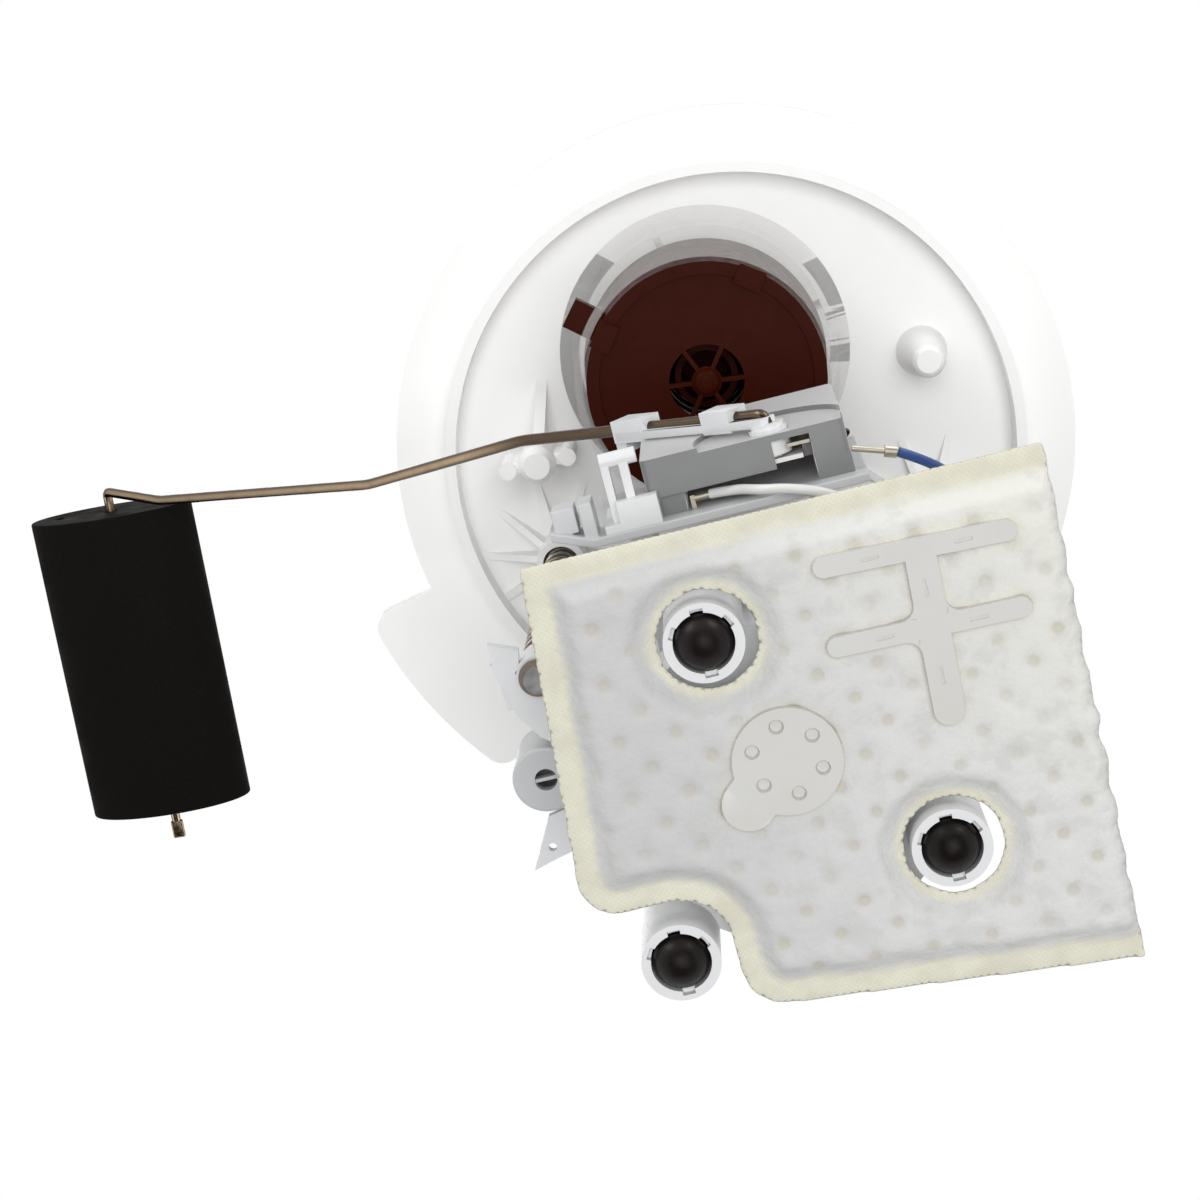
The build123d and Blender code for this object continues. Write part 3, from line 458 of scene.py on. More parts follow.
def make_drawn_group():
    """Drawn or rolled metal: fine lines along one axis and slight tarnish."""
    group, start, end = new_group(
        "Drawn Metal",
        {"Color": (0.6, 0.6, 0.6, 1), "Tarnish": (0.3, 0.25, 0.2, 1), "Tarnish Amount": 0.4,
         "Roughness": 0.3},
        ("Color", "Roughness", "Height"))
    vector = start.outputs["Vector"]
    patches = ramp(group, noise_value(group, vector, 240.0, 5.0, 0.7), 0.42, 0.66)
    amount = calc(group, "MULTIPLY", patches, start.outputs["Tarnish Amount"])
    shade = mix_colours(group, amount, start.outputs["Color"], start.outputs["Tarnish"])
    group.links.new(shade, end.inputs["Color"])
    stretch = add_node(group, "Mapping")
    stretch.inputs["Scale"].default_value = (4000, 4000, 120)
    group.links.new(vector, stretch.inputs["Vector"])
    lines = noise_value(group, stretch.outputs[0], 1.0, 2.0)
    gloss = calc(group, "ADD", start.outputs["Roughness"], calc(group, "MULTIPLY", patches, 0.15))
    group.links.new(gloss, end.inputs["Roughness"])
    group.links.new(lines, end.inputs["Height"])
    return group


def new_material(name, **sockets):
    """Material with its Principled shader and an Object coordinate; constants go on the shader's sockets."""
    material = bpy.data.materials.new(name)
    material.use_nodes = True
    tree = material.node_tree
    shader = tree.nodes["Principled BSDF"]
    for socket, value in sockets.items():
        shader.inputs[socket.replace("_", " ")].default_value = value
    place = add_node(tree, "TexCoord")
    return material, tree, shader, place.outputs["Object"]


def place_group(tree, name, vector, **values):
    """Put a node group in a material and set its inputs."""
    node = tree.nodes.new("ShaderNodeGroup")
    node.node_tree = bpy.data.node_groups[name]
    tree.links.new(vector, node.inputs["Vector"])
    for key, value in values.items():
        value = (*value, 1) if isinstance(value, (tuple, list)) and len(value) == 3 else value
        node.inputs[key.replace("_", " ")].default_value = value
    return node


def add_bump(tree, shader, height, strength, distance):
    """Bump node from a height to the shader's normal."""
    bump = add_node(tree, "Bump", in_Strength=strength, in_Distance=distance)
    tree.links.new(height, bump.inputs["Height"])
    tree.links.new(bump.outputs["Normal"], shader.inputs["Normal"])


def make_finish(name, effect, sockets, bump, depth, **values):
    """Material whose colour, roughness and bump come from one of the node groups."""
    material, tree, shader, vector = new_material(name, **sockets)
    group = place_group(tree, effect, vector, **values)
    tree.links.new(group.outputs["Color"], shader.inputs["Base Color"])
    tree.links.new(group.outputs["Roughness"], shader.inputs["Roughness"])
    add_bump(tree, shader, group.outputs["Height"], bump, depth)
    return material


def make_plastic(name, base, tone, amount, rough, scuffs, bump, **sockets):
    """Moulded plastic or rubber."""
    return make_finish(name, "Moulded Surface", sockets, bump, 0.05 * MM, Color=tuple(base), Tone=tone,
                       Tone_Amount=amount, Roughness=rough, Scuffs=scuffs)


def make_metal(name, base, tarnish, amount, rough, bump=0.1):
    """Drawn, stamped or rolled metal."""
    return make_finish(name, "Drawn Metal", {"Metallic": 1.0}, bump, 0.04 * MM, Color=base, Tarnish=tarnish,
                       Tarnish_Amount=amount, Roughness=rough)


def make_arm_metal():
    """Polished bronze wire with painted reflection: bright where it faces the viewer, brown towards its
    edges and darker towards the sensor end.
    """
    material = make_metal("arm_bronze", (0.78, 0.58, 0.385), (0.42, 0.25, 0.12), 0.25, 0.16, 0.0)
    tree = material.node_tree
    shader = tree.nodes["Principled BSDF"]
    front = shader.inputs["Base Color"].links[0].from_socket
    facing = add_node(tree, "LayerWeight", in_Blend=0.5).outputs["Facing"]
    along = axes_of(tree, add_node(tree, "TexCoord").outputs["Object"])[0]
    # darker towards the sensor end, from x -52 mm on: painted dark reflection
    painted_dark_reflection = ramp(tree, along, -0.052, -0.036, 0.0, 0.88)
    front = mix_colours(tree, painted_dark_reflection, front, (0.055, 0.041, 0.028))
    # bright where the wire faces the viewer and brown where it turns away towards its edges: painted
    # reflection
    edge = ramp(tree, facing, 0.12, 0.62)
    tree.links.new(mix_colours(tree, edge, front, (0.045, 0.026, 0.013)), shader.inputs["Base Color"])
    return material


def make_sock_material(settings):
    """Felt with spot welds in the middle, and woven mesh pressed flat along the seams."""
    material, tree, shader, vector = new_material("sock_felt", Roughness=0.95, Specular_IOR_Level=0.2)
    fibres = place_group(tree, "Bonded Fibres", vector, Color=tuple(settings.felt), Shade=(0.61, 0.61, 0.61),
                         Density=0.35)
    weave = place_group(tree, "Woven Mesh", vector, Pitch=0.0007)
    marks = {name: add_node(tree, "Attribute", attribute_name=name).outputs["Fac"]
             for name in ("seam", "weld", "crease")}
    beige = mix_colours(tree, calc(tree, "MULTIPLY", weave.outputs["Holes"], 0.2), tuple(settings.mesh),
                        (0.49, 0.45, 0.33))
    patchy = ramp(tree, noise_value(tree, vector, 160.0, 4.0), 0.3, 0.7)
    beige = mix_colours(tree, calc(tree, "MULTIPLY", patchy, 0.6), beige, (0.60, 0.575, 0.475))
    x, y = axes_of(tree, vector)[:2]
    # yellower and lighter towards high x and low y: partly the felt's own yellow tint, partly painted light
    corner = calc(tree, "SUBTRACT", x, calc(tree, "MULTIPLY", y, 0.8))
    yellow_tint_and_painted_light = calc(tree, "MULTIPLY", ramp(tree, corner, -0.02, 0.07), 0.6)
    felt = mix_colours(tree, yellow_tint_and_painted_light, fibres.outputs["Color"], (0.82, 0.81, 0.72))
    # greyer towards low x: painted shade
    left = ramp(tree, x, 0.03, -0.03, 0.0, 0.5)
    felt = mix_colours(tree, left, felt, (0.47, 0.472, 0.48))
    hills = noise_value(tree, vector, 210.0, 5.0)
    # darker where the crumple noise is low: painted shade in the felt's valleys
    felt = mix_colours(tree, ramp(tree, hills, 0.52, 0.36, 0.0, 0.3), felt, (0.52, 0.515, 0.50))
    # darker yellow-brown round each spot weld: partly the weld's own tint, partly painted shade in its pit
    strength = ramp(tree, noise_value(tree, vector, 45.0), 0.35, 0.65, 0.15, 0.6)
    weld_tint_and_painted_shade = mix_colours(tree, calc(tree, "MULTIPLY", marks["weld"], strength), felt, (0.52, 0.485, 0.385))
    # darker yellowish band along the edges of the welded plates: painted shadow
    weld_tint_and_painted_shade = mix_colours(tree, calc(tree, "MULTIPLY", marks["crease"], 0.45), weld_tint_and_painted_shade, (0.65, 0.61, 0.47))
    tree.links.new(mix_colours(tree, marks["seam"], weld_tint_and_painted_shade, beige), shader.inputs["Base Color"])
    nap = calc(tree, "MULTIPLY", calc(tree, "SUBTRACT", 1.0, marks["seam"]), fibres.outputs["Height"])
    woven = calc(tree, "MULTIPLY", calc(tree, "MULTIPLY", marks["seam"], weave.outputs["Height"]), 1.4)
    crumple = calc(tree, "MULTIPLY", calc(tree, "SUBTRACT", 1.0, marks["seam"]), hills)
    crumple = calc(tree, "MULTIPLY", crumple, 22.0)
    add_bump(tree, shader, calc(tree, "ADD", calc(tree, "ADD", nap, woven), crumple), 0.3, 0.0001)
    return material


def make_foam_material(settings):
    """Closed-cell foam: fine pores and a slight mottle."""
    material, tree, shader, vector = new_material("float_foam", Specular_IOR_Level=0.03)
    cells = add_node(tree, "TexVoronoi", in_Scale=1500.0, feature="F1")
    tree.links.new(vector, cells.inputs["Vector"])
    pores = ramp(tree, cells.outputs["Distance"], 0.05, 0.45)
    cloud = ramp(tree, noise_value(tree, vector, 90.0, 4.0), 0.35, 0.7)
    mottle = calc(tree, "MULTIPLY", cloud, 0.5)
    base = mix_colours(tree, mottle, tuple(settings.foam), (0.007, 0.0062, 0.0054))
    base = mix_colours(tree, calc(tree, "MULTIPLY", pores, 0.35), base, (0.010, 0.009, 0.008))
    tree.links.new(base, shader.inputs["Base Color"])
    tree.links.new(ramp(tree, cloud, 0, 1, 0.62, 0.8), shader.inputs["Roughness"])
    add_bump(tree, shader, calc(tree, "ADD", pores, calc(tree, "MULTIPLY", cloud, 2.0)), 0.45, 0.00012)
    return material


# name, base colour or its setting, flow tone and its amount, roughness, scuffs, bump and extra sockets
PLASTICS = (
    ("white_acetal", "white", (0.70, 0.705, 0.715), 0.35, 0.36, 0.15, 0.12, {}),
    ("flange_acetal", "flange_white", (0.915, 0.91, 0.89), 0.4, 0.42, 0.15, 0.12, {}),
    ("valve_clear", "clear", (0.80, 0.79, 0.77), 0.3, 0.2, 0.1, 0.0,
     {"Alpha": 0.16, "Specular_IOR_Level": 0.08}),
    ("cap_brown", "brown", (0.030, 0.0034, 0.0009), 0.5, 0.36, 0.18, 0.1, {"Specular_IOR_Level": 0.04}),
    ("sensor_grey", "grey", (0.16, 0.162, 0.165), 0.4, 0.34, 0.04, 0.02,
     {"Sheen_Weight": 1.0, "Sheen_Roughness": 0.35}),
    ("natural_nylon", (0.62, 0.615, 0.59), (0.57, 0.56, 0.52), 0.4, 0.4, 0.2, 0.12, {}),
    ("pale_grey", (0.58, 0.585, 0.595), (0.52, 0.525, 0.535), 0.4, 0.36, 0.05, 0.04, {}),
    ("pump_black", (0.018, 0.018, 0.02), (0.03, 0.03, 0.032), 0.5, 0.42, 0.2, 0.12, {}),
    ("moulded_rubber", (0.007, 0.005, 0.0045), (0.012, 0.009, 0.008), 0.6, 0.3, 0.2, 0.25,
     {"Specular_IOR_Level": 0.16}),
    ("hose_nylon", (0.02, 0.02, 0.021), (0.035, 0.035, 0.036), 0.5, 0.3, 0.2, 0.12, {}),
    ("white_ceramic", (0.82, 0.82, 0.80), (0.74, 0.74, 0.72), 0.3, 0.5, 0.2, 0.12, {}),
    ("magnet_ferrite", (0.045, 0.045, 0.048), (0.07, 0.065, 0.065), 0.6, 0.6, 0.2, 0.4, {}),
)
INSULATION = {
    "red": (0.50, 0.03, 0.025),
    "black": (0.02, 0.02, 0.02),
    "white": (0.80, 0.80, 0.78),
    "blue": (0.03, 0.08, 0.26),
}
# name, base colour, tarnish and its amount, and roughness
METALS = (
    ("drawn_steel", (0.56, 0.56, 0.57), (0.34, 0.33, 0.32), 0.35, 0.28),
    ("spring_wire", (0.36, 0.31, 0.27), (0.20, 0.15, 0.11), 0.5, 0.3),
    ("tinned_brass", (0.62, 0.58, 0.48), (0.42, 0.36, 0.26), 0.4, 0.28),
    ("copper_winding", (0.66, 0.26, 0.12), (0.40, 0.15, 0.07), 0.5, 0.32),
)


class FUELPUMP_OT_materials(bpy.types.Operator):
    """Make every finish of the module"""

    bl_idname = "fuel_pump.materials"
    bl_label = "Materials"

    def execute(self, context):
        for make_group in (make_moulded_group, make_fibre_group, make_weave_group, make_drawn_group):
            make_group()
        for name, base, *look, sockets in PLASTICS:
            if isinstance(base, str):
                base = getattr(context.scene.fuel_pump_plastic, base)
            make_plastic(name, base, *look, **sockets)
        for name, base in INSULATION.items():
            darker = tuple(0.75 * value for value in base)
            make_plastic("insulation_" + name, base, darker, 0.4, 0.32, 0.2, 0.08)
        for metal in METALS:
            make_metal(*metal)
        make_arm_metal()
        make_sock_material(context.scene.fuel_pump_sock)
        make_foam_material(context.scene.fuel_pump_float)
        return {"FINISHED"}


NODE_FINISH = {
    "flange_acetal": ("flange", "clip_post", "connector_shell", "vapour_fitting", "fuel_outlet_fitting"),
    "white_acetal": ("harness_plug", "carrier", "carrier_cover", "latch_strip", "sock_neck",
                     "sock_inlet_plate", "sock_spreader", "arm_stop", "arm_holder"),
    "valve_clear": ("vent_valve_housing",),
    # the vent float is white plastic; it takes the cap's dark brown finish so that the gaps between the
    # cap's spokes look dark: painted shade
    "cap_brown": ("vent_valve_cap", "vent_float", "impeller"),
    "sensor_grey": ("sensor_housing",),
    "pale_grey": ("sensor_bracket", "regulator_cup", "regulator_cover"),
    "pump_black": ("pump_inlet_housing", "pump_outlet_housing", "pump_plug", "brushes"),
    "moulded_rubber": ("isolator_lower", "isolator_upper", "rubber_feet", "vent_float_seat"),
    "drawn_steel": ("guide_rod_left", "guide_rod_right", "pump_case", "motor_shaft", "armature_core",
                    "hose_clamp_lower", "hose_clamp_upper", "check_valve_ball"),
    "spring_wire": ("rod_clips", "guide_spring_left", "guide_spring_right", "vent_float_spring",
                    "check_valve_spring"),
    "arm_bronze": ("arm_wire",),
    "tinned_brass": ("terminals", "resistor_track", "sensor_contact", "wiper", "lead_crimps"),
    "copper_winding": ("armature_windings", "commutator"),
    "magnet_ferrite": ("pump_magnets",),
    "white_ceramic": ("resistor_card",),
    "float_foam": ("float",),
    "sock_felt": ("sock",),
    "hose_nylon": ("fuel_hose",),
    "insulation_red": ("lead_red",),
    "insulation_black": ("lead_black",),
    "insulation_white": ("lead_white",),
    "insulation_blue": ("lead_blue",),
}


class FUELPUMP_OT_finishes(bpy.types.Operator):
    """Give every CAD node its finish"""

    bl_idname = "fuel_pump.finishes"
    bl_label = "Node finishes"

    def execute(self, context):
        left = set(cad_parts)
        for material, nodes in NODE_FINISH.items():
            for node in nodes:
                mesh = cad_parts[node].data
                mesh.materials.clear()
                mesh.materials.append(bpy.data.materials[material])
                left.discard(node)
        if left:
            raise RuntimeError("no finish for " + ", ".join(sorted(left)))
        return {"FINISHED"}


# ---------------------------------------------------------------- stage
CAMERA_PLACE = Vector((0.011263, -0.096466, -0.546636))
CAMERA_RIGHT = Vector((0.96835, 0.24770, 0.03070))
CAMERA_DOWN = Vector((-0.23410, 0.94400, -0.23250))
CAMERA_FORWARD = Vector((-0.08657, 0.21796, 0.97211))
SOFT_BOXES = (    # name, place in metres, setting of its power, side in metres
    ("soft_box_left", (-0.60, -1.0, -0.07), "key_power", 0.6),
    ("soft_box_right", (0.80, -0.95, -0.07), "key_power", 0.6),
    ("soft_box_below", (0.20, -0.50, -2.5), "low_power", 1.6),
    ("soft_box_top", (-0.25, 0.35, 1.1), "top_power", 0.9),
)
LAMP_TARGET = Vector((0, 0, -0.06))
FLOOR_HEIGHT = -150.1 * MM


def make_floor_material():
    """Pale floor that fades out far from the module and is clear from below."""
    material, tree, shader, place = new_material("stage_floor", Roughness=0.8)
    mottle = ramp(tree, noise_value(tree, place, 3.0), 0.3, 0.7)
    pale = mix_colours(tree, mottle, (0.95, 0.95, 0.95), (0.93, 0.93, 0.93))
    tree.links.new(pale, shader.inputs["Base Color"])
    distance = add_node(tree, "VectorMath", operation="LENGTH")
    tree.links.new(place, distance.inputs[0])
    fade = ramp(tree, distance.outputs["Value"], 0.35, 0.8)
    below = add_node(tree, "NewGeometry").outputs["Backfacing"]
    see_through = add_node(tree, "BsdfTransparent")
    choice = add_node(tree, "MixShader")
    tree.links.new(calc(tree, "MAXIMUM", fade, below), choice.inputs[0])
    tree.links.new(shader.outputs[0], choice.inputs[1])
    tree.links.new(see_through.outputs[0], choice.inputs[2])
    tree.links.new(choice.outputs[0], tree.nodes["Material Output"].inputs["Surface"])
    return material


def make_card_material():
    """Matt black card that only gloss can see, so that dark pieces stay dark from below."""
    material, tree, shader, vector = new_material("stage_card", Roughness=1.0, Specular_IOR_Level=0.0)
    black = mix_colours(tree, noise_value(tree, vector, 4.0), (0.01, 0.01, 0.01), (0.02, 0.02, 0.02))
    tree.links.new(black, shader.inputs["Base Color"])
    return material


def make_world(ambient):
    """White where the camera, gloss and glass look, and a plain level of light for the rest."""
    world = bpy.data.worlds.new("stage_world")
    bpy.context.scene.world = world
    world.use_nodes = True
    tree = world.node_tree
    plain = tree.nodes["Background"]
    plain.inputs["Color"].default_value = (1, 1, 1, 1)
    plain.inputs["Strength"].default_value = ambient
    white = add_node(tree, "Background", in_Color=(1, 1, 1, 1), in_Strength=1.0)
    paths = add_node(tree, "LightPath")
    seen = calc(tree, "MAXIMUM", paths.outputs["Is Camera Ray"], paths.outputs["Is Glossy Ray"])
    seen = calc(tree, "MAXIMUM", seen, paths.outputs["Is Transmission Ray"])
    choice = add_node(tree, "MixShader")
    tree.links.new(seen, choice.inputs[0])
    tree.links.new(plain.outputs[0], choice.inputs[1])
    tree.links.new(white.outputs[0], choice.inputs[2])
    tree.links.new(choice.outputs[0], tree.nodes["World Output"].inputs["Surface"])


def add_soft_box(name, place, watts, size):
    """Square area light aimed at the middle of the module."""
    lamp = bpy.data.lights.new(name, "AREA")
    lamp.energy = watts
    lamp.size = size
    box = bpy.data.objects.new(name, lamp)
    bpy.context.scene.collection.objects.link(box)
    box.location = place
    box.rotation_euler = (LAMP_TARGET - box.location).to_track_quat("-Z", "Y").to_euler()


def add_stage_plane(name, size, place, material):
    """Square plane of the stage."""
    nothing_selected()
    bpy.ops.mesh.primitive_plane_add(size=size, location=place)
    plane = settle(name)
    plane.data.materials.append(material)
    return plane


class FUELPUMP_OT_stage(bpy.types.Operator):
    """Camera, soft boxes, world and floor"""

    bl_idname = "fuel_pump.stage"
    bl_label = "Stage"

    def execute(self, context):
        settings = context.scene.fuel_pump_stage
        lens = bpy.data.cameras.new("camera")
        lens.lens = settings.lens
        lens.sensor_width = 36
        lens.clip_start = 0.01
        camera = bpy.data.objects.new("camera", lens)
        context.scene.collection.objects.link(camera)
        axes = Matrix((CAMERA_RIGHT, -CAMERA_DOWN, -CAMERA_FORWARD)).transposed()
        camera.matrix_world = Matrix.Translation(CAMERA_PLACE) @ axes.to_4x4()
        context.scene.camera = camera
        for name, place, setting, size in SOFT_BOXES:
            add_soft_box(name, place, getattr(settings, setting), size)
        make_world(settings.ambient)
        floor = add_stage_plane("stage_floor", 1.8, (0, 0, FLOOR_HEIGHT), make_floor_material())
        card = add_stage_plane("stage_dark_card", 4.0, (0.1, 0.1, -1.45), make_card_material())
        for ray in ("shadow", "diffuse", "glossy"):
            setattr(floor, "visible_" + ray, False)
        for ray in ("camera", "diffuse", "transmission", "volume_scatter", "shadow"):
            setattr(card, "visible_" + ray, False)
        context.scene.view_settings.view_transform = "Standard"
        return {"FINISHED"}


# ---------------------------------------------------------------- hose and leads
def smooth_route(route):
    """Points along the NURBS spline whose control points are a route in millimetres."""
    line = bpy.data.curves.new("route", "CURVE")
    line.dimensions = "3D"
    line.resolution_u = 12
    spline = line.splines.new("NURBS")
    spline.points.add(len(route) - 1)
    for point, place in zip(spline.points, route):
        point.co = (*(Vector(place) * MM), 1)
    spline.order_u = 3
    spline.use_endpoint_u = True
    holder = bpy.data.objects.new("route", line)
    mesh = bpy.data.meshes.new_from_object(holder)
    points = [vertex.co.copy() for vertex in mesh.vertices]
    bpy.data.objects.remove(holder)
    bpy.data.meshes.remove(mesh)
    return points


def even_points(points, step):
    """The same line with points an even step apart."""
    total = sum((b - a).length for a, b in zip(points, points[1:]))
    count = max(2, round(total / step))
    result, target, travelled = [points[0].copy()], total / count, 0.0
    for a, b in zip(points, points[1:]):
        run = (b - a).length
        while travelled + run >= target - 1e-9 and len(result) < count:
            result.append(a.lerp(b, (target - travelled) / run))
            target += total / count
        travelled += run
    result.append(points[-1].copy())
    return result


def tube_mesh(name, points, radii, sides):
    """Tube with closed ends along points, with one radius for each point."""
    shape = bmesh.new()
    across = None
    rings = []
    for number, (point, radius) in enumerate(zip(points, radii)):
        ahead = points[min(number + 1, len(points) - 1)] - points[max(number - 1, 0)]
        ahead.normalize()
        if across is None:
            across = ahead.orthogonal()
        across = (across - ahead * across.dot(ahead)).normalized()
        other = ahead.cross(across)
        ring = []
        for k in range(sides):
            angle = 2 * math.pi * k / sides
            outward = math.cos(angle) * across + math.sin(angle) * other
            ring.append(shape.verts.new(point + radius * outward))
        rings.append(ring)
    for first, second in zip(rings, rings[1:]):
        for k in range(sides):
            shape.faces.new((first[k], first[(k + 1) % sides], second[(k + 1) % sides], second[k]))
    shape.faces.new(list(reversed(rings[0])))
    shape.faces.new(rings[-1])
    mesh = bpy.data.meshes.new(name)
    shape.to_mesh(mesh)
    shape.free()
    piece = bpy.data.objects.new(name, mesh)
    bpy.context.scene.collection.objects.link(piece)
    return smooth(piece, 60)


HOSE_STEP = 0.45
HOSE_R = 5.2
HOSE_WAVE = 0.55
STEPS_PER_WAVE = 7
HOSE_PLAIN_END = 8.0
LEAD_R = 0.9


class FUELPUMP_OT_leads(bpy.types.Operator):
    """Corrugated fuel hose and the four leads between the carrier and the flange"""

    bl_idname = "fuel_pump.leads"
    bl_label = "Hose and leads"

    def execute(self, context):
        points = even_points(smooth_route(HOSE_ROUTE), HOSE_STEP * MM)
        last = len(points) - 1
        radii = []
        for number in range(len(points)):
            plain = min(number, last - number) * HOSE_STEP < HOSE_PLAIN_END
            wave = 0.0 if plain else HOSE_WAVE * math.sin(2 * math.pi * number / STEPS_PER_WAVE)
            radii.append((HOSE_R + wave) * MM)
        hose = tube_mesh("corrugated_hose", points, radii, 32)
        dress(hose, "hose_nylon", None, "hose", ("fuel_hose",))
        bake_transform(hose)
        for name, route in LEADS.items():
            points = even_points(smooth_route(route), LEAD_R * MM)
            lead = tube_mesh(name + "_insulated", points, [LEAD_R * MM] * len(points), 14)
            dress(lead, name.replace("lead", "insulation"), None, name, (name,))
            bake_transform(lead)
        return {"FINISHED"}


# ---------------------------------------------------------------- float arm
ARM_WIRE_R = 1.1
BEND_REACH = 4.0               # from a bend's corner to where the bend begins
SHARP_BEND_REACH = 2.6
ARM_TIP = FLOAT_CORNER + FLOAT_AXIS * 81.6
HOLDER_CLIPS = ((9.6, 3.3), (31.4, 3.8))      # distance from the pivot and half length of each clip
WIRE_IN_HOLDER = 180           # points of the wire that the holder's groove follows


def arm_points():
    """Points along the wire, whose bends are rounded."""
    corners = [Vector(place) for place in ARM_ROUTE]
    places = [corners[0]]
    for before, corner, after in zip(corners, corners[1:], corners[2:] + [ARM_TIP]):
        reach = SHARP_BEND_REACH if corner in (corners[1], corners[-1]) else BEND_REACH
        reach = min(reach, (corner - before).length * 0.45)
        places.append(corner - (corner - before).normalized() * reach)
        places.append(corner)
        places.append(corner + (after - corner).normalized() * reach)
    places.append(ARM_TIP)
    return even_points(smooth_route(places), 0.6 * MM)


def add_arm_holder(points):
    """Arm rotor of the sensor: a bar with two clips on the wire, a tab, a hub and a shank."""
    holder = add_arm_block("arm_rotor", (-1.0, 34.6), (-2.6, 1.4), (-24.4, -22.9))
    x, z = ARM_PIVOT
    parts = [add_bar("hub", (x, -23.2, z), (x, -22.2, z), 3.0, 48),
             add_bar("shank", (x, -22.4, z), (x, -17.7, z), 3.4, 48),
             add_arm_block("tab", (32.6, 35.2), (-2.4, 1.4), (-24.0, -20.6))]
    for reach, half in HOLDER_CLIPS:
        parts.append(add_arm_block("clip", (reach - half, reach + half), (-2.6, 2.6), (-26.6, -22.5)))
    combine(holder, parts)
    buried = points[:WIRE_IN_HOLDER]
    cut(holder, [tube_mesh("groove", buried, [(ARM_WIRE_R + 0.04) * MM] * len(buried), 20)])
    return round_edges(holder, 0.35, 2)


class FUELPUMP_OT_arm(bpy.types.Operator):
    """Bent wire of the float arm, and the rotor that clips it to the sensor"""

    bl_idname = "fuel_pump.arm"
    bl_label = "Float arm"

    def execute(self, context):
        points = arm_points()
        wire = tube_mesh("float_arm", points, [ARM_WIRE_R * MM] * len(points), 20)
        paddle = add_block("paddle", (-1.45, -0.65, 0), (1.45, 0.65, 4.4))
        round_edges(paddle, 0.4, 3)
        work_on(paddle)
        turn = FLOAT_AXIS.to_track_quat("Z", "Y").to_matrix().to_4x4()
        paddle.matrix_world = Matrix.Translation(ARM_TIP * MM) @ turn
        bpy.ops.object.transform_apply(location=True, rotation=True, scale=True)
        combine(wire, [paddle])
        dress(smooth(wire, 50), "arm_bronze", "arm_body", "wire_brass", ("arm_wire",))
        holder = smooth(add_arm_holder(points))
        dress(holder, "white_acetal", "arm_body", "white_plastic", ("arm_holder",))
        return {"FINISHED"}


# ---------------------------------------------------------------- springs
CLOSED_TURNS = 1.5
STEPS_PER_TURN = 28
GUIDE_SPAN = (-96.9, -0.2)
CHECK_VALVE = (3.0, 43.0)


def add_coil(name, centre, mean_radius, wire, span, turns):
    """Round-wire compression spring with closed ends, its span being between the wire's outer faces."""
    low, high = span[0] + wire / 2, span[1] - wire / 2
    closed = wire * 1.02
    points = []
    for k in range(turns * STEPS_PER_TURN + 1):
        turn = k / STEPS_PER_TURN
        if turn < CLOSED_TURNS:
            z = low + closed * turn
        elif turn > turns - CLOSED_TURNS:
            z = high - closed * (turns - turn)
        else:
            share = (turn - CLOSED_TURNS) / (turns - 2 * CLOSED_TURNS)
            z = (low + closed * CLOSED_TURNS) * (1 - share) + (high - closed * CLOSED_TURNS) * share
        angle = 2 * math.pi * turn
        x = centre[0] + mean_radius * math.cos(angle)
        y = centre[1] + mean_radius * math.sin(angle)
        points.append(Vector((x, y, z)) * MM)
    return tube_mesh(name, points, [wire / 2 * MM] * len(points), 10)


class FUELPUMP_OT_springs(bpy.types.Operator):
    """Guide springs, vent float spring and check valve spring"""

    bl_idname = "fuel_pump.springs"
    bl_label = "Springs"

    def execute(self, context):
        settings = context.scene.fuel_pump_spring
        radius, wire = settings.mean_radius / MM, settings.wire / MM
        for side, rod in (("left", ROD_LEFT), ("right", ROD_RIGHT)):
            spring = add_coil("guide_coil_" + side, rod, radius, wire, GUIDE_SPAN, settings.turns)
            dress(spring, "spring_wire", None, "spring_steel", ("guide_spring_" + side,))
            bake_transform(spring)
        spring = add_coil("vent_coil", VENT, 9.0, 1.0, (-44.2, -14.7), 6)
        dress(spring, "spring_wire", None, "spring_steel", ("vent_float_spring",))
        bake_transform(spring)
        spring = add_coil("check_coil", CHECK_VALVE, 2.0, 0.5, (-50.5, -42.2), 6)
        dress(spring, "spring_wire", None, "spring_steel", ("check_valve_spring",))
        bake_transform(spring)
        return {"FINISHED"}


# ---------------------------------------------------------------- strainer sock
FOLD_WAVES = 74.0              # radians of the folded edge's ripple along its whole run
FOLD_WAVE = 0.9
SEAM_HALF = 0.32               # half thickness of a welded seam
CLOTH_FRAMES = 16
SIDE_DRIFT = 0.4               # the furthest that the simulation may move a point sideways
PLAN_LOW = (-45, -18)          # box round the sock, and the start and size of its grid of points
PLAN_HIGH = (55, 80)
GRID_START = (-44.0, -16.5)
GRID_SIZE = (100, 97)
ROW_HEIGHT = 0.87              # of a row of near-equilateral triangles, in steps
WELD_RANGE = range(-16, 20)


def corner_arc(corners, k, step):
    """Points round one corner of the sock's outline."""
    x, y, radius = corners[k][:3]
    here = Vector((x, y))
    to_before = (Vector(corners[k - 1][:2]) - here).normalized()
    to_after = (Vector(corners[(k + 1) % len(corners)][:2]) - here).normalized()
    half = to_before.angle(to_after) / 2
    centre = here + (to_before + to_after).normalized() * (radius / math.sin(half))
    first = here + to_before * (radius / math.tan(half)) - centre
    last = here + to_after * (radius / math.tan(half)) - centre
    sweep = -first.angle_signed(last)
    count = max(2, round(radius * abs(sweep) / step))
    arc = []
    for i in range(count + 1):
        c, s = math.cos(sweep * i / count), math.sin(sweep * i / count)
        arc.append(centre + Vector((first.x * c - first.y * s, first.x * s + first.y * c)))
    return arc


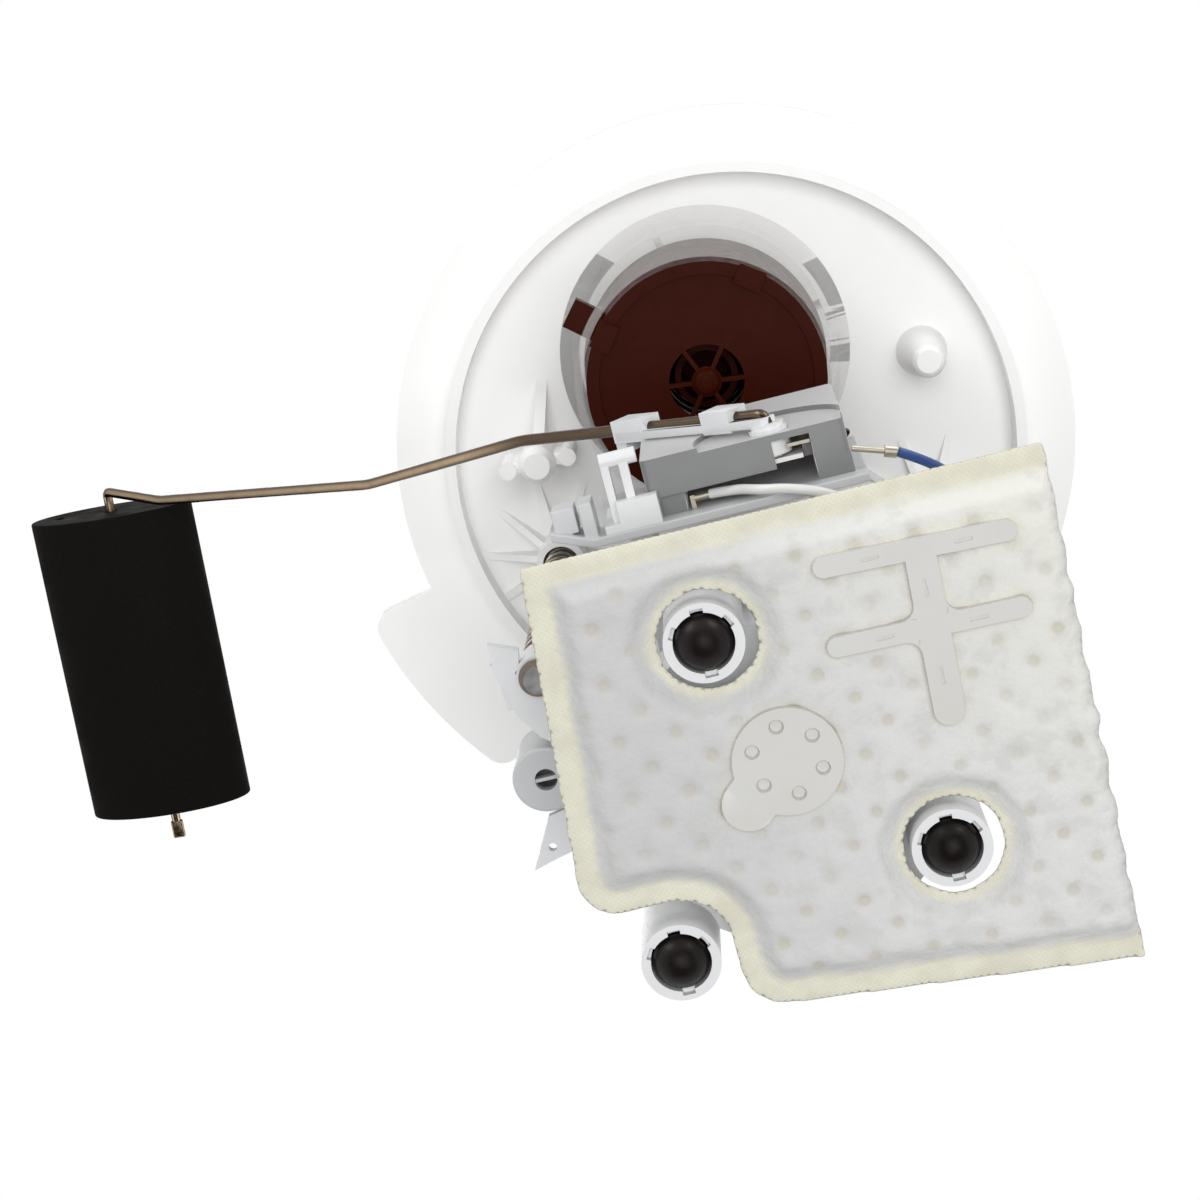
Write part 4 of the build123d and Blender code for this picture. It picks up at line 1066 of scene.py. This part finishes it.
def sock_outline(step):
    """Points round the sock's outline, and the seam width of the run after each point."""
    points, widths = [], []
    arcs = [corner_arc(SOCK_CORNERS, k, step) for k in range(len(SOCK_CORNERS))]
    for k, arc in enumerate(arcs):
        width = SOCK_CORNERS[k][3]
        arc_width = max(width, SOCK_CORNERS[k - 1][3])
        points.extend(arc)
        widths.extend([arc_width] * (len(arc) - 1) + [width])
        start, end = arc[-1], arcs[(k + 1) % len(arcs)][0]
        steps = max(1, round((end - start).length / step))
        for i in range(1, steps):
            share = i / steps
            place = start.lerp(end, share)
            if width == 0.0:
                drift = 2.2 * noise.noise(Vector((7.3, share * 6.0, 0)))
                size = 0.35 + 0.45 * noise.noise(Vector((2.9, share * 14.0, 0)))
                ripple = math.sin(math.pi * share) ** 0.5 * math.sin(share * FOLD_WAVES + drift)
                place.x += FOLD_WAVE * size * ripple
            points.append(place)
            widths.append(width)
    return points, widths


def distance_to_run(point, a, b):
    """Distance from a point to a straight run."""
    along = b - a
    share = clamp((point - a).dot(along) / max(along.length_squared, 1e-12))
    return (point - a - along * share).length


def inside(point, outline):
    """Whether a point lies inside a closed outline."""
    result = False
    for a, b in zip(outline, outline[1:] + outline[:1]):
        if (a.y > point.y) != (b.y > point.y):
            if point.x < a.x + (point.y - a.y) * (b.x - a.x) / (b.y - a.y):
                result = not result
    return result


class SockPlan:
    """Flat plan of the sock: its points and triangles, and how far each point is from what holds it."""

    def __init__(self, settings):
        step = settings.spacing / MM
        weld_r = settings.weld_radius / MM
        self.outline, widths = sock_outline(step)
        self.runs = list(zip(self.outline, self.outline[1:] + self.outline[:1], widths))
        points = list(self.outline)
        edges = [(k, (k + 1) % len(points)) for k in range(len(points))]
        for hole in SOCK_HOLES:
            first = len(points)
            count = round(2 * math.pi * SOCK_HOLE_R / step)
            points.extend(self.circle(hole, SOCK_HOLE_R, count))
            edges.extend((first + k, first + (k + 1) % count) for k in range(count))
        rim = len(points)
        self.welds = [weld for weld in self.weld_places() if self.is_free(weld, 1.6)]
        for weld in self.welds:
            points.append(weld)
            points.extend(self.circle(weld, weld_r, 8))
            points.extend(self.circle(weld, weld_r * 1.8, 10))
        points.extend(self.filling(step, weld_r * 2.4))
        result = delaunay_2d_cdt(points, edges, [], 1, 1e-6)
        self.points = result[0]
        self.faces = [face for face in result[2] if not self.in_hole(face)]
        self.on_rim = [any(source < rim for source in sources) for sources in result[3]]
        self.inset = [self.seam_inset(point) for point in self.points]
        self.fold = [min(distance_to_run(point, a, b) for a, b, width in self.runs if width == 0.0)
                     for point in self.points]
        self.weld = [min((point - weld).length for weld in self.welds) / weld_r for point in self.points]

    def circle(self, centre, radius, count):
        """Points on a circle."""
        angles = (2 * math.pi * k / count for k in range(count))
        return [Vector((centre[0] + radius * math.cos(a), centre[1] + radius * math.sin(a))) for a in angles]

    def weld_places(self):
        """Lattice of spot welds, each a little out of place."""
        for i in WELD_RANGE:
            for j in WELD_RANGE:
                place = WELD_ORIGIN + WELD_STEPS[0] * i + WELD_STEPS[1] * j
                if PLAN_LOW[0] < place.x < PLAN_HIGH[0] and PLAN_LOW[1] < place.y < PLAN_HIGH[1]:
                    shift = noise.noise_vector(Vector((i * 1.7, j * 2.3, 1.1)))
                    yield place + 0.5 * Vector((shift.x, shift.y))

    def filling(self, step, weld_gap):
        """Even grid of points between the rims and the welds."""
        for row in range(round(GRID_SIZE[1] / (step * ROW_HEIGHT))):
            for column in range(round(GRID_SIZE[0] / step)):
                x = GRID_START[0] + step * (column + 0.5 * (row % 2))
                point = Vector((x, GRID_START[1] + step * ROW_HEIGHT * row))
                clear = min((point - weld).length for weld in self.welds) > weld_gap
                if clear and inside(point, self.outline) and self.rim_gap(point) > step * 0.6:
                    yield point

    def rim_gap(self, point):
        """Distance from a point to the nearest rim."""
        holes = min((point - Vector(hole)).length - SOCK_HOLE_R for hole in SOCK_HOLES)
        return min(holes, min(distance_to_run(point, a, b) for a, b, width in self.runs))

    def seam_inset(self, point):
        """How far a point lies past the inner edge of the seams; negative within one."""
        wander = 0.5 * noise.noise(Vector((point.x * 0.12, point.y * 0.12, 3.0)))
        holes = min((point - Vector(hole)).length - SOCK_HOLE_R - 2.0 for hole in SOCK_HOLES)
        seams = min(distance_to_run(point, a, b) - width for a, b, width in self.runs if width > 0.0)
        return min(holes, seams) + wander

    def is_free(self, point, gap):
        """Whether a weld fits at a point: inside, clear of the seams, the fold and the holes."""
        if not inside(point, self.outline) or self.seam_inset(point) < gap:
            return False
        return all(distance_to_run(point, a, b) > 1.5 for a, b, width in self.runs if width == 0.0)

    def in_hole(self, face):
        """Whether a triangle fills a leg hole."""
        middle = sum((self.points[k] for k in face), Vector((0, 0))) / 3
        return any((middle - Vector(hole)).length < SOCK_HOLE_R - 0.05 for hole in SOCK_HOLES)

    def half_thickness(self, k, loft):
        """Half thickness of the flat bag before it is inflated."""
        if self.on_rim[k]:
            return 0.0
        rise = clamp(self.inset[k] / 3.4)
        rise = rise * rise * (3 - 2 * rise)
        fold = clamp(self.fold[k] / 2.4)
        place = self.points[k] * 0.09
        swell = 0.22 * noise.noise(Vector((place.x, place.y, 8.0)))
        pillow = 0.62 * clamp((self.weld[k] - 0.95) / 2.2) ** 0.55
        return (SEAM_HALF + (loft + swell + pillow - SEAM_HALF) * rise) * math.sqrt(fold)


def add_sock_mesh(plan, loft):
    """Two layers of felt joined along their rims, and the vertex of each plan point in each layer."""
    shape = bmesh.new()
    layers = []
    for side in (-1, 1):
        layer = []
        for k, point in enumerate(plan.points):
            if plan.on_rim[k] and side == 1:
                layer.append(layers[0][k])
            else:
                height = SOCK_MID + side * plan.half_thickness(k, loft)
                layer.append(shape.verts.new((point.x * MM, point.y * MM, height * MM)))
        layers.append(layer)
    for face in plan.faces:
        if all(plan.on_rim[k] for k in face):
            continue
        shape.faces.new([layers[0][k] for k in reversed(face)])
        shape.faces.new([layers[1][k] for k in face])
    bmesh.ops.recalc_face_normals(shape, faces=shape.faces)
    shape.verts.index_update()
    origin = [[vertex.index for vertex in layer] for layer in layers]
    mesh = bpy.data.meshes.new("sock_bag")
    shape.to_mesh(mesh)
    shape.free()
    piece = bpy.data.objects.new("sock_bag", mesh)
    bpy.context.scene.collection.objects.link(piece)
    return piece, origin


def inflate_sock(piece, pinned, crown):
    """Puff the felt up between its seams and welds with a short cloth simulation."""
    pins = piece.vertex_groups.new(name="pins")
    pins.add(pinned, 1.0, "REPLACE")
    rest = [vertex.co.copy() for vertex in piece.data.vertices]
    work_on(piece)
    cloth = piece.modifiers.new("Cloth", "CLOTH")
    felt = cloth.settings
    felt.quality = 5
    felt.mass = 0.02
    felt.tension_stiffness = 25
    felt.compression_stiffness = 25
    felt.shear_stiffness = 15
    felt.bending_stiffness = 0.5
    felt.vertex_group_mass = "pins"
    felt.use_pressure = True
    felt.uniform_pressure_force = 3.0
    felt.effector_weights.gravity = 0
    cloth.point_cache.frame_start = 1
    cloth.point_cache.frame_end = CLOTH_FRAMES
    for number in range(1, CLOTH_FRAMES + 1):
        bpy.context.scene.frame_set(number)
    bpy.ops.object.modifier_apply(modifier=cloth.name)
    bpy.context.scene.frame_set(1)
    drift = SIDE_DRIFT * MM
    middle = SOCK_MID * MM
    for vertex, start in zip(piece.data.vertices, rest):
        vertex.co.x = start.x + clamp(vertex.co.x - start.x, -drift, drift)
        vertex.co.y = start.y + clamp(vertex.co.y - start.y, -drift, drift)
        limit = min(max(abs(start.z - middle) * 1.45, 0.3 * MM), crown)
        vertex.co.z = middle + clamp(vertex.co.z - middle, -limit, limit)


def plate_gap(point):
    """Distance from a point to the plates welded on the sock."""
    strips = (*SPREADER.values(), (INLET, INLET, 2 * INLET_R), INLET_LOBE)
    return min(distance_to_run(point, Vector(a), Vector(b)) - width / 2 for a, b, width in strips)


class FUELPUMP_OT_sock(bpy.types.Operator):
    """Felt sock with welded mesh seams, spot welds and two leg holes"""

    bl_idname = "fuel_pump.sock"
    bl_label = "Strainer sock"

    def execute(self, context):
        settings = context.scene.fuel_pump_sock
        plan = SockPlan(settings)
        piece, origin = add_sock_mesh(plan, settings.loft / MM)
        pinned = set()
        marks = {"seam": {}, "weld": {}, "crease": {}}
        for layer in origin:
            for k, vertex in enumerate(layer):
                if plan.inset[k] < 0.4 or plan.on_rim[k] or plan.weld[k] < 1.1:
                    pinned.add(vertex)
                marks["seam"][vertex] = clamp((0.45 - plan.inset[k]) / 0.9)
                marks["weld"][vertex] = clamp(2.0 - plan.weld[k])
                # band along the plates' edges, which the felt's material darkens as painted shadow
                marks["crease"][vertex] = clamp(1.0 - abs(plate_gap(plan.points[k])) / 1.3)
        inflate_sock(piece, sorted(pinned), settings.crown)
        for name, values in marks.items():
            attribute = piece.data.attributes.new(name, "FLOAT", "POINT")
            for vertex, value in values.items():
                attribute.data[vertex].value = value
        modify(piece, "SUBSURF", levels=1, render_levels=1)
        work_on(piece)
        bpy.ops.object.shade_smooth()
        dress(piece, "sock_felt", CARRIER, "felt", ("sock",))
        return {"FINISHED"}


# ---------------------------------------------------------------- plates on the sock
def add_strip(name, start, end, width):
    """Flat strip with round ends, between the plate heights."""
    start, end = Vector(start), Vector(end)
    across = (end - start).normalized()
    across = Vector((-across.y, across.x)) * width / 2
    corners = [start + across, start - across, end - across, end + across]
    nothing_selected()
    bpy.ops.mesh.primitive_cube_add(size=1)
    piece = settle(name)
    for vertex in piece.data.vertices:
        corner = corners[(0 if vertex.co.y > 0 else 1) if vertex.co.x < 0 else (3 if vertex.co.y > 0 else 2)]
        height = PLATE_HIGH if vertex.co.z > 0 else PLATE_LOW
        vertex.co = Vector((corner.x, corner.y, height)) * MM
    ends = [add_bar(name + "_end", (*place, PLATE_LOW), (*place, PLATE_HIGH), width / 2, 40)
            for place in (start, end)]
    return combine(piece, ends)


CROSSING_R = 2.6
SLOT_HALF = (1.5, 0.3)
SLOT_TOP = -147.25
SLOTS = (      # middle, and whether the slot runs along X
    ((20.1, -3.1), True), ((35.6, -2.5), True), ((19.6, 10.5), True), ((35.3, 10.9), True),
    ((27.9, 3.9), False), ((27.3, 19.0), False),
)
INLET_HOLES = ((-1.3, 21.1), (4.2, 23.9), (-6.2, 24.4), (4.7, 29.8), (-5.6, 30.5), (-0.2, 33.2))
HOLE_TOP = -146.5


def at_crossing(middle, along):
    """Whether an upright edge stands where two of the spreader's bars cross."""
    near = 24 < middle.x < 31.5 and -2.0 < middle.y < 13
    return near and abs(along.z) > 0.9 and abs(middle.x - 27.9) > 2.4


def add_spreader():
    """Three crossed bars with rounded inner corners and shallow slots."""
    spreader, *others = [add_strip(name, *bar) for name, bar in SPREADER.items()]
    combine(spreader, others)
    slots = []
    for (x, y), along_x in SLOTS:
        half_x, half_y = SLOT_HALF if along_x else reversed(SLOT_HALF)
        low = (x - half_x, y - half_y, BELOW_PLATES)
        slots.append(add_block("slot", low, (x + half_x, y + half_y, SLOT_TOP)))
    pick(spreader, "EDGE", at_crossing)
    bpy.ops.mesh.bevel(offset=CROSSING_R * MM, segments=6)
    done_editing()
    cut(spreader, slots)
    return round_edges(spreader, 0.5, 3)


def add_inlet_plate():
    """Round plate with a lobe at one side and blind tapered holes."""
    plate = add_bar("inlet_plate", (*INLET, PLATE_LOW), (*INLET, PLATE_HIGH), INLET_R, 96)
    combine(plate, [add_strip("lobe", *INLET_LOBE), add_strip("lobe_web", *LOBE_WEB)])
    holes = [add_bar("hole", (*place, BELOW_PLATES), (*place, HOLE_TOP), 1.45, 24, 1.0)
             for place in INLET_HOLES]
    cut(plate, holes)
    return round_edges(plate, 0.4, 3)


class FUELPUMP_OT_sock_plates(bpy.types.Operator):
    """Inlet plate and spreader welded to the sock's underside"""

    bl_idname = "fuel_pump.sock_plates"
    bl_label = "Sock plates"

    def execute(self, context):
        for node, piece in (("sock_spreader", add_spreader()), ("sock_inlet_plate", add_inlet_plate())):
            dress(smooth(piece), "natural_nylon", CARRIER, "white_plastic", (node,))
        return {"FINISHED"}


# ---------------------------------------------------------------- float
class FUELPUMP_OT_float(bpy.types.Operator):
    """Foam float with its wire bore"""

    bl_idname = "fuel_pump.float"
    bl_label = "Float"

    def execute(self, context):
        settings = context.scene.fuel_pump_float
        nothing_selected()
        bpy.ops.mesh.primitive_cylinder_add(vertices=128, radius=1.0, depth=FLOAT_LENGTH * MM)
        block = bpy.context.active_object
        block.name = "foam_float"
        block.matrix_world = Matrix((
            (*(FLOAT_SIDE * settings.half_width), 0),
            (0, 0, settings.half_height, 0),
            (*FLOAT_AXIS, 0),
            (0, 0, 0, 1))).transposed()
        block.matrix_world.translation = (FLOAT_CORNER + FLOAT_AXIS * (FLOAT_START + FLOAT_LENGTH / 2)) * MM
        bpy.ops.object.transform_apply(location=True, rotation=True, scale=True)
        pick(block, "FACE", lambda place, normal: abs(normal.dot(FLOAT_AXIS)) > 0.9)
        bpy.ops.mesh.inset(thickness=0.5 * MM)
        bpy.ops.mesh.inset(thickness=3.0 * MM)
        bpy.ops.mesh.select_all(action="SELECT")
        bpy.ops.mesh.normals_make_consistent(inside=False)
        done_editing()
        bore = add_bar("bore", FLOAT_CORNER, FLOAT_CORNER + FLOAT_AXIS * 90, 1.25, 24)
        dimple_place = FLOAT_CORNER + FLOAT_AXIS * 4.0 - FLOAT_SIDE * 12.2
        dimple = add_bar("dimple", dimple_place, dimple_place + FLOAT_AXIS * 3.0, 1.0, 16)
        cut(block, [bore, dimple])
        round_edges(block, 0.45, 3, 50)
        dress(smooth(block, 50), "float_foam", "float_body", "foam", ("float",))
        return {"FINISHED"}


# ---------------------------------------------------------------- moulded nodes with rounded edges
SOFTENED = (
    ("flange", 0.35, "flange_acetal", FLANGE, "white_plastic"),
    ("sensor_housing", 0.3, "sensor_grey", CARRIER, "grey_plastic"),
    ("sensor_bracket", 0.25, "pale_grey", CARRIER, "grey_plastic"),
    ("arm_stop", 0.3, "white_acetal", CARRIER, "white_plastic"),
    ("vent_valve_cap", 0.25, "cap_brown", FLANGE, "brown_plastic"),
    ("connector_shell", 0.3, "flange_acetal", FLANGE, "white_plastic"),
    ("carrier", 0.3, "white_acetal", CARRIER, "white_plastic"),
    ("latch_strip", 0.3, "white_acetal", CARRIER, "white_plastic"),
    ("regulator_cup", 0.35, "pale_grey", CARRIER, "white_plastic"),
)


class FUELPUMP_OT_moulded(bpy.types.Operator):
    """Moulded parts with the small edge radii that a mould leaves"""

    bl_idname = "fuel_pump.moulded"
    bl_label = "Moulded parts"

    def execute(self, context):
        for node, width, material, body, slot in SOFTENED:
            dress(softened_copy(node, width), material, body, slot, (node,))
        return {"FINISHED"}


# ---------------------------------------------------------------- panel, registration and the run
OPERATORS = (
    FUELPUMP_OT_stage,
    FUELPUMP_OT_materials,
    FUELPUMP_OT_leads,
    FUELPUMP_OT_finishes,
    FUELPUMP_OT_arm,
    FUELPUMP_OT_springs,
    FUELPUMP_OT_sock,
    FUELPUMP_OT_sock_plates,
    FUELPUMP_OT_float,
    FUELPUMP_OT_moulded,
)
SETTINGS = {
    "fuel_pump_stage": StageSettings,
    "fuel_pump_plastic": PlasticSettings,
    "fuel_pump_sock": SockSettings,
    "fuel_pump_float": FloatSettings,
    "fuel_pump_spring": SpringSettings,
}


class FUELPUMP_PT_panel(bpy.types.Panel):
    """Sidebar list of the module's steps"""

    bl_label = "Fuel Pump Module"
    bl_idname = "FUELPUMP_PT_panel"
    bl_space_type = "VIEW_3D"
    bl_region_type = "UI"
    bl_category = "Fuel Pump"

    def draw(self, context):
        for operator in OPERATORS:
            self.layout.operator(operator.bl_idname)


def register():
    """Register the settings, operators and panel."""
    for name, settings in SETTINGS.items():
        bpy.utils.register_class(settings)
        setattr(bpy.types.Scene, name, PointerProperty(type=settings))
    for operator in OPERATORS:
        bpy.utils.register_class(operator)
    bpy.utils.register_class(FUELPUMP_PT_panel)


def unregister():
    """Remove the panel, operators and settings."""
    bpy.utils.unregister_class(FUELPUMP_PT_panel)
    for operator in reversed(OPERATORS):
        bpy.utils.unregister_class(operator)
    for name, settings in SETTINGS.items():
        delattr(bpy.types.Scene, name)
        bpy.utils.unregister_class(settings)


def main():
    """Build everything in order."""
    register()
    for operator in OPERATORS:
        category, name = operator.bl_idname.split(".")
        getattr(getattr(bpy.ops, category), name)()


if __name__ == "__main__":
    main()
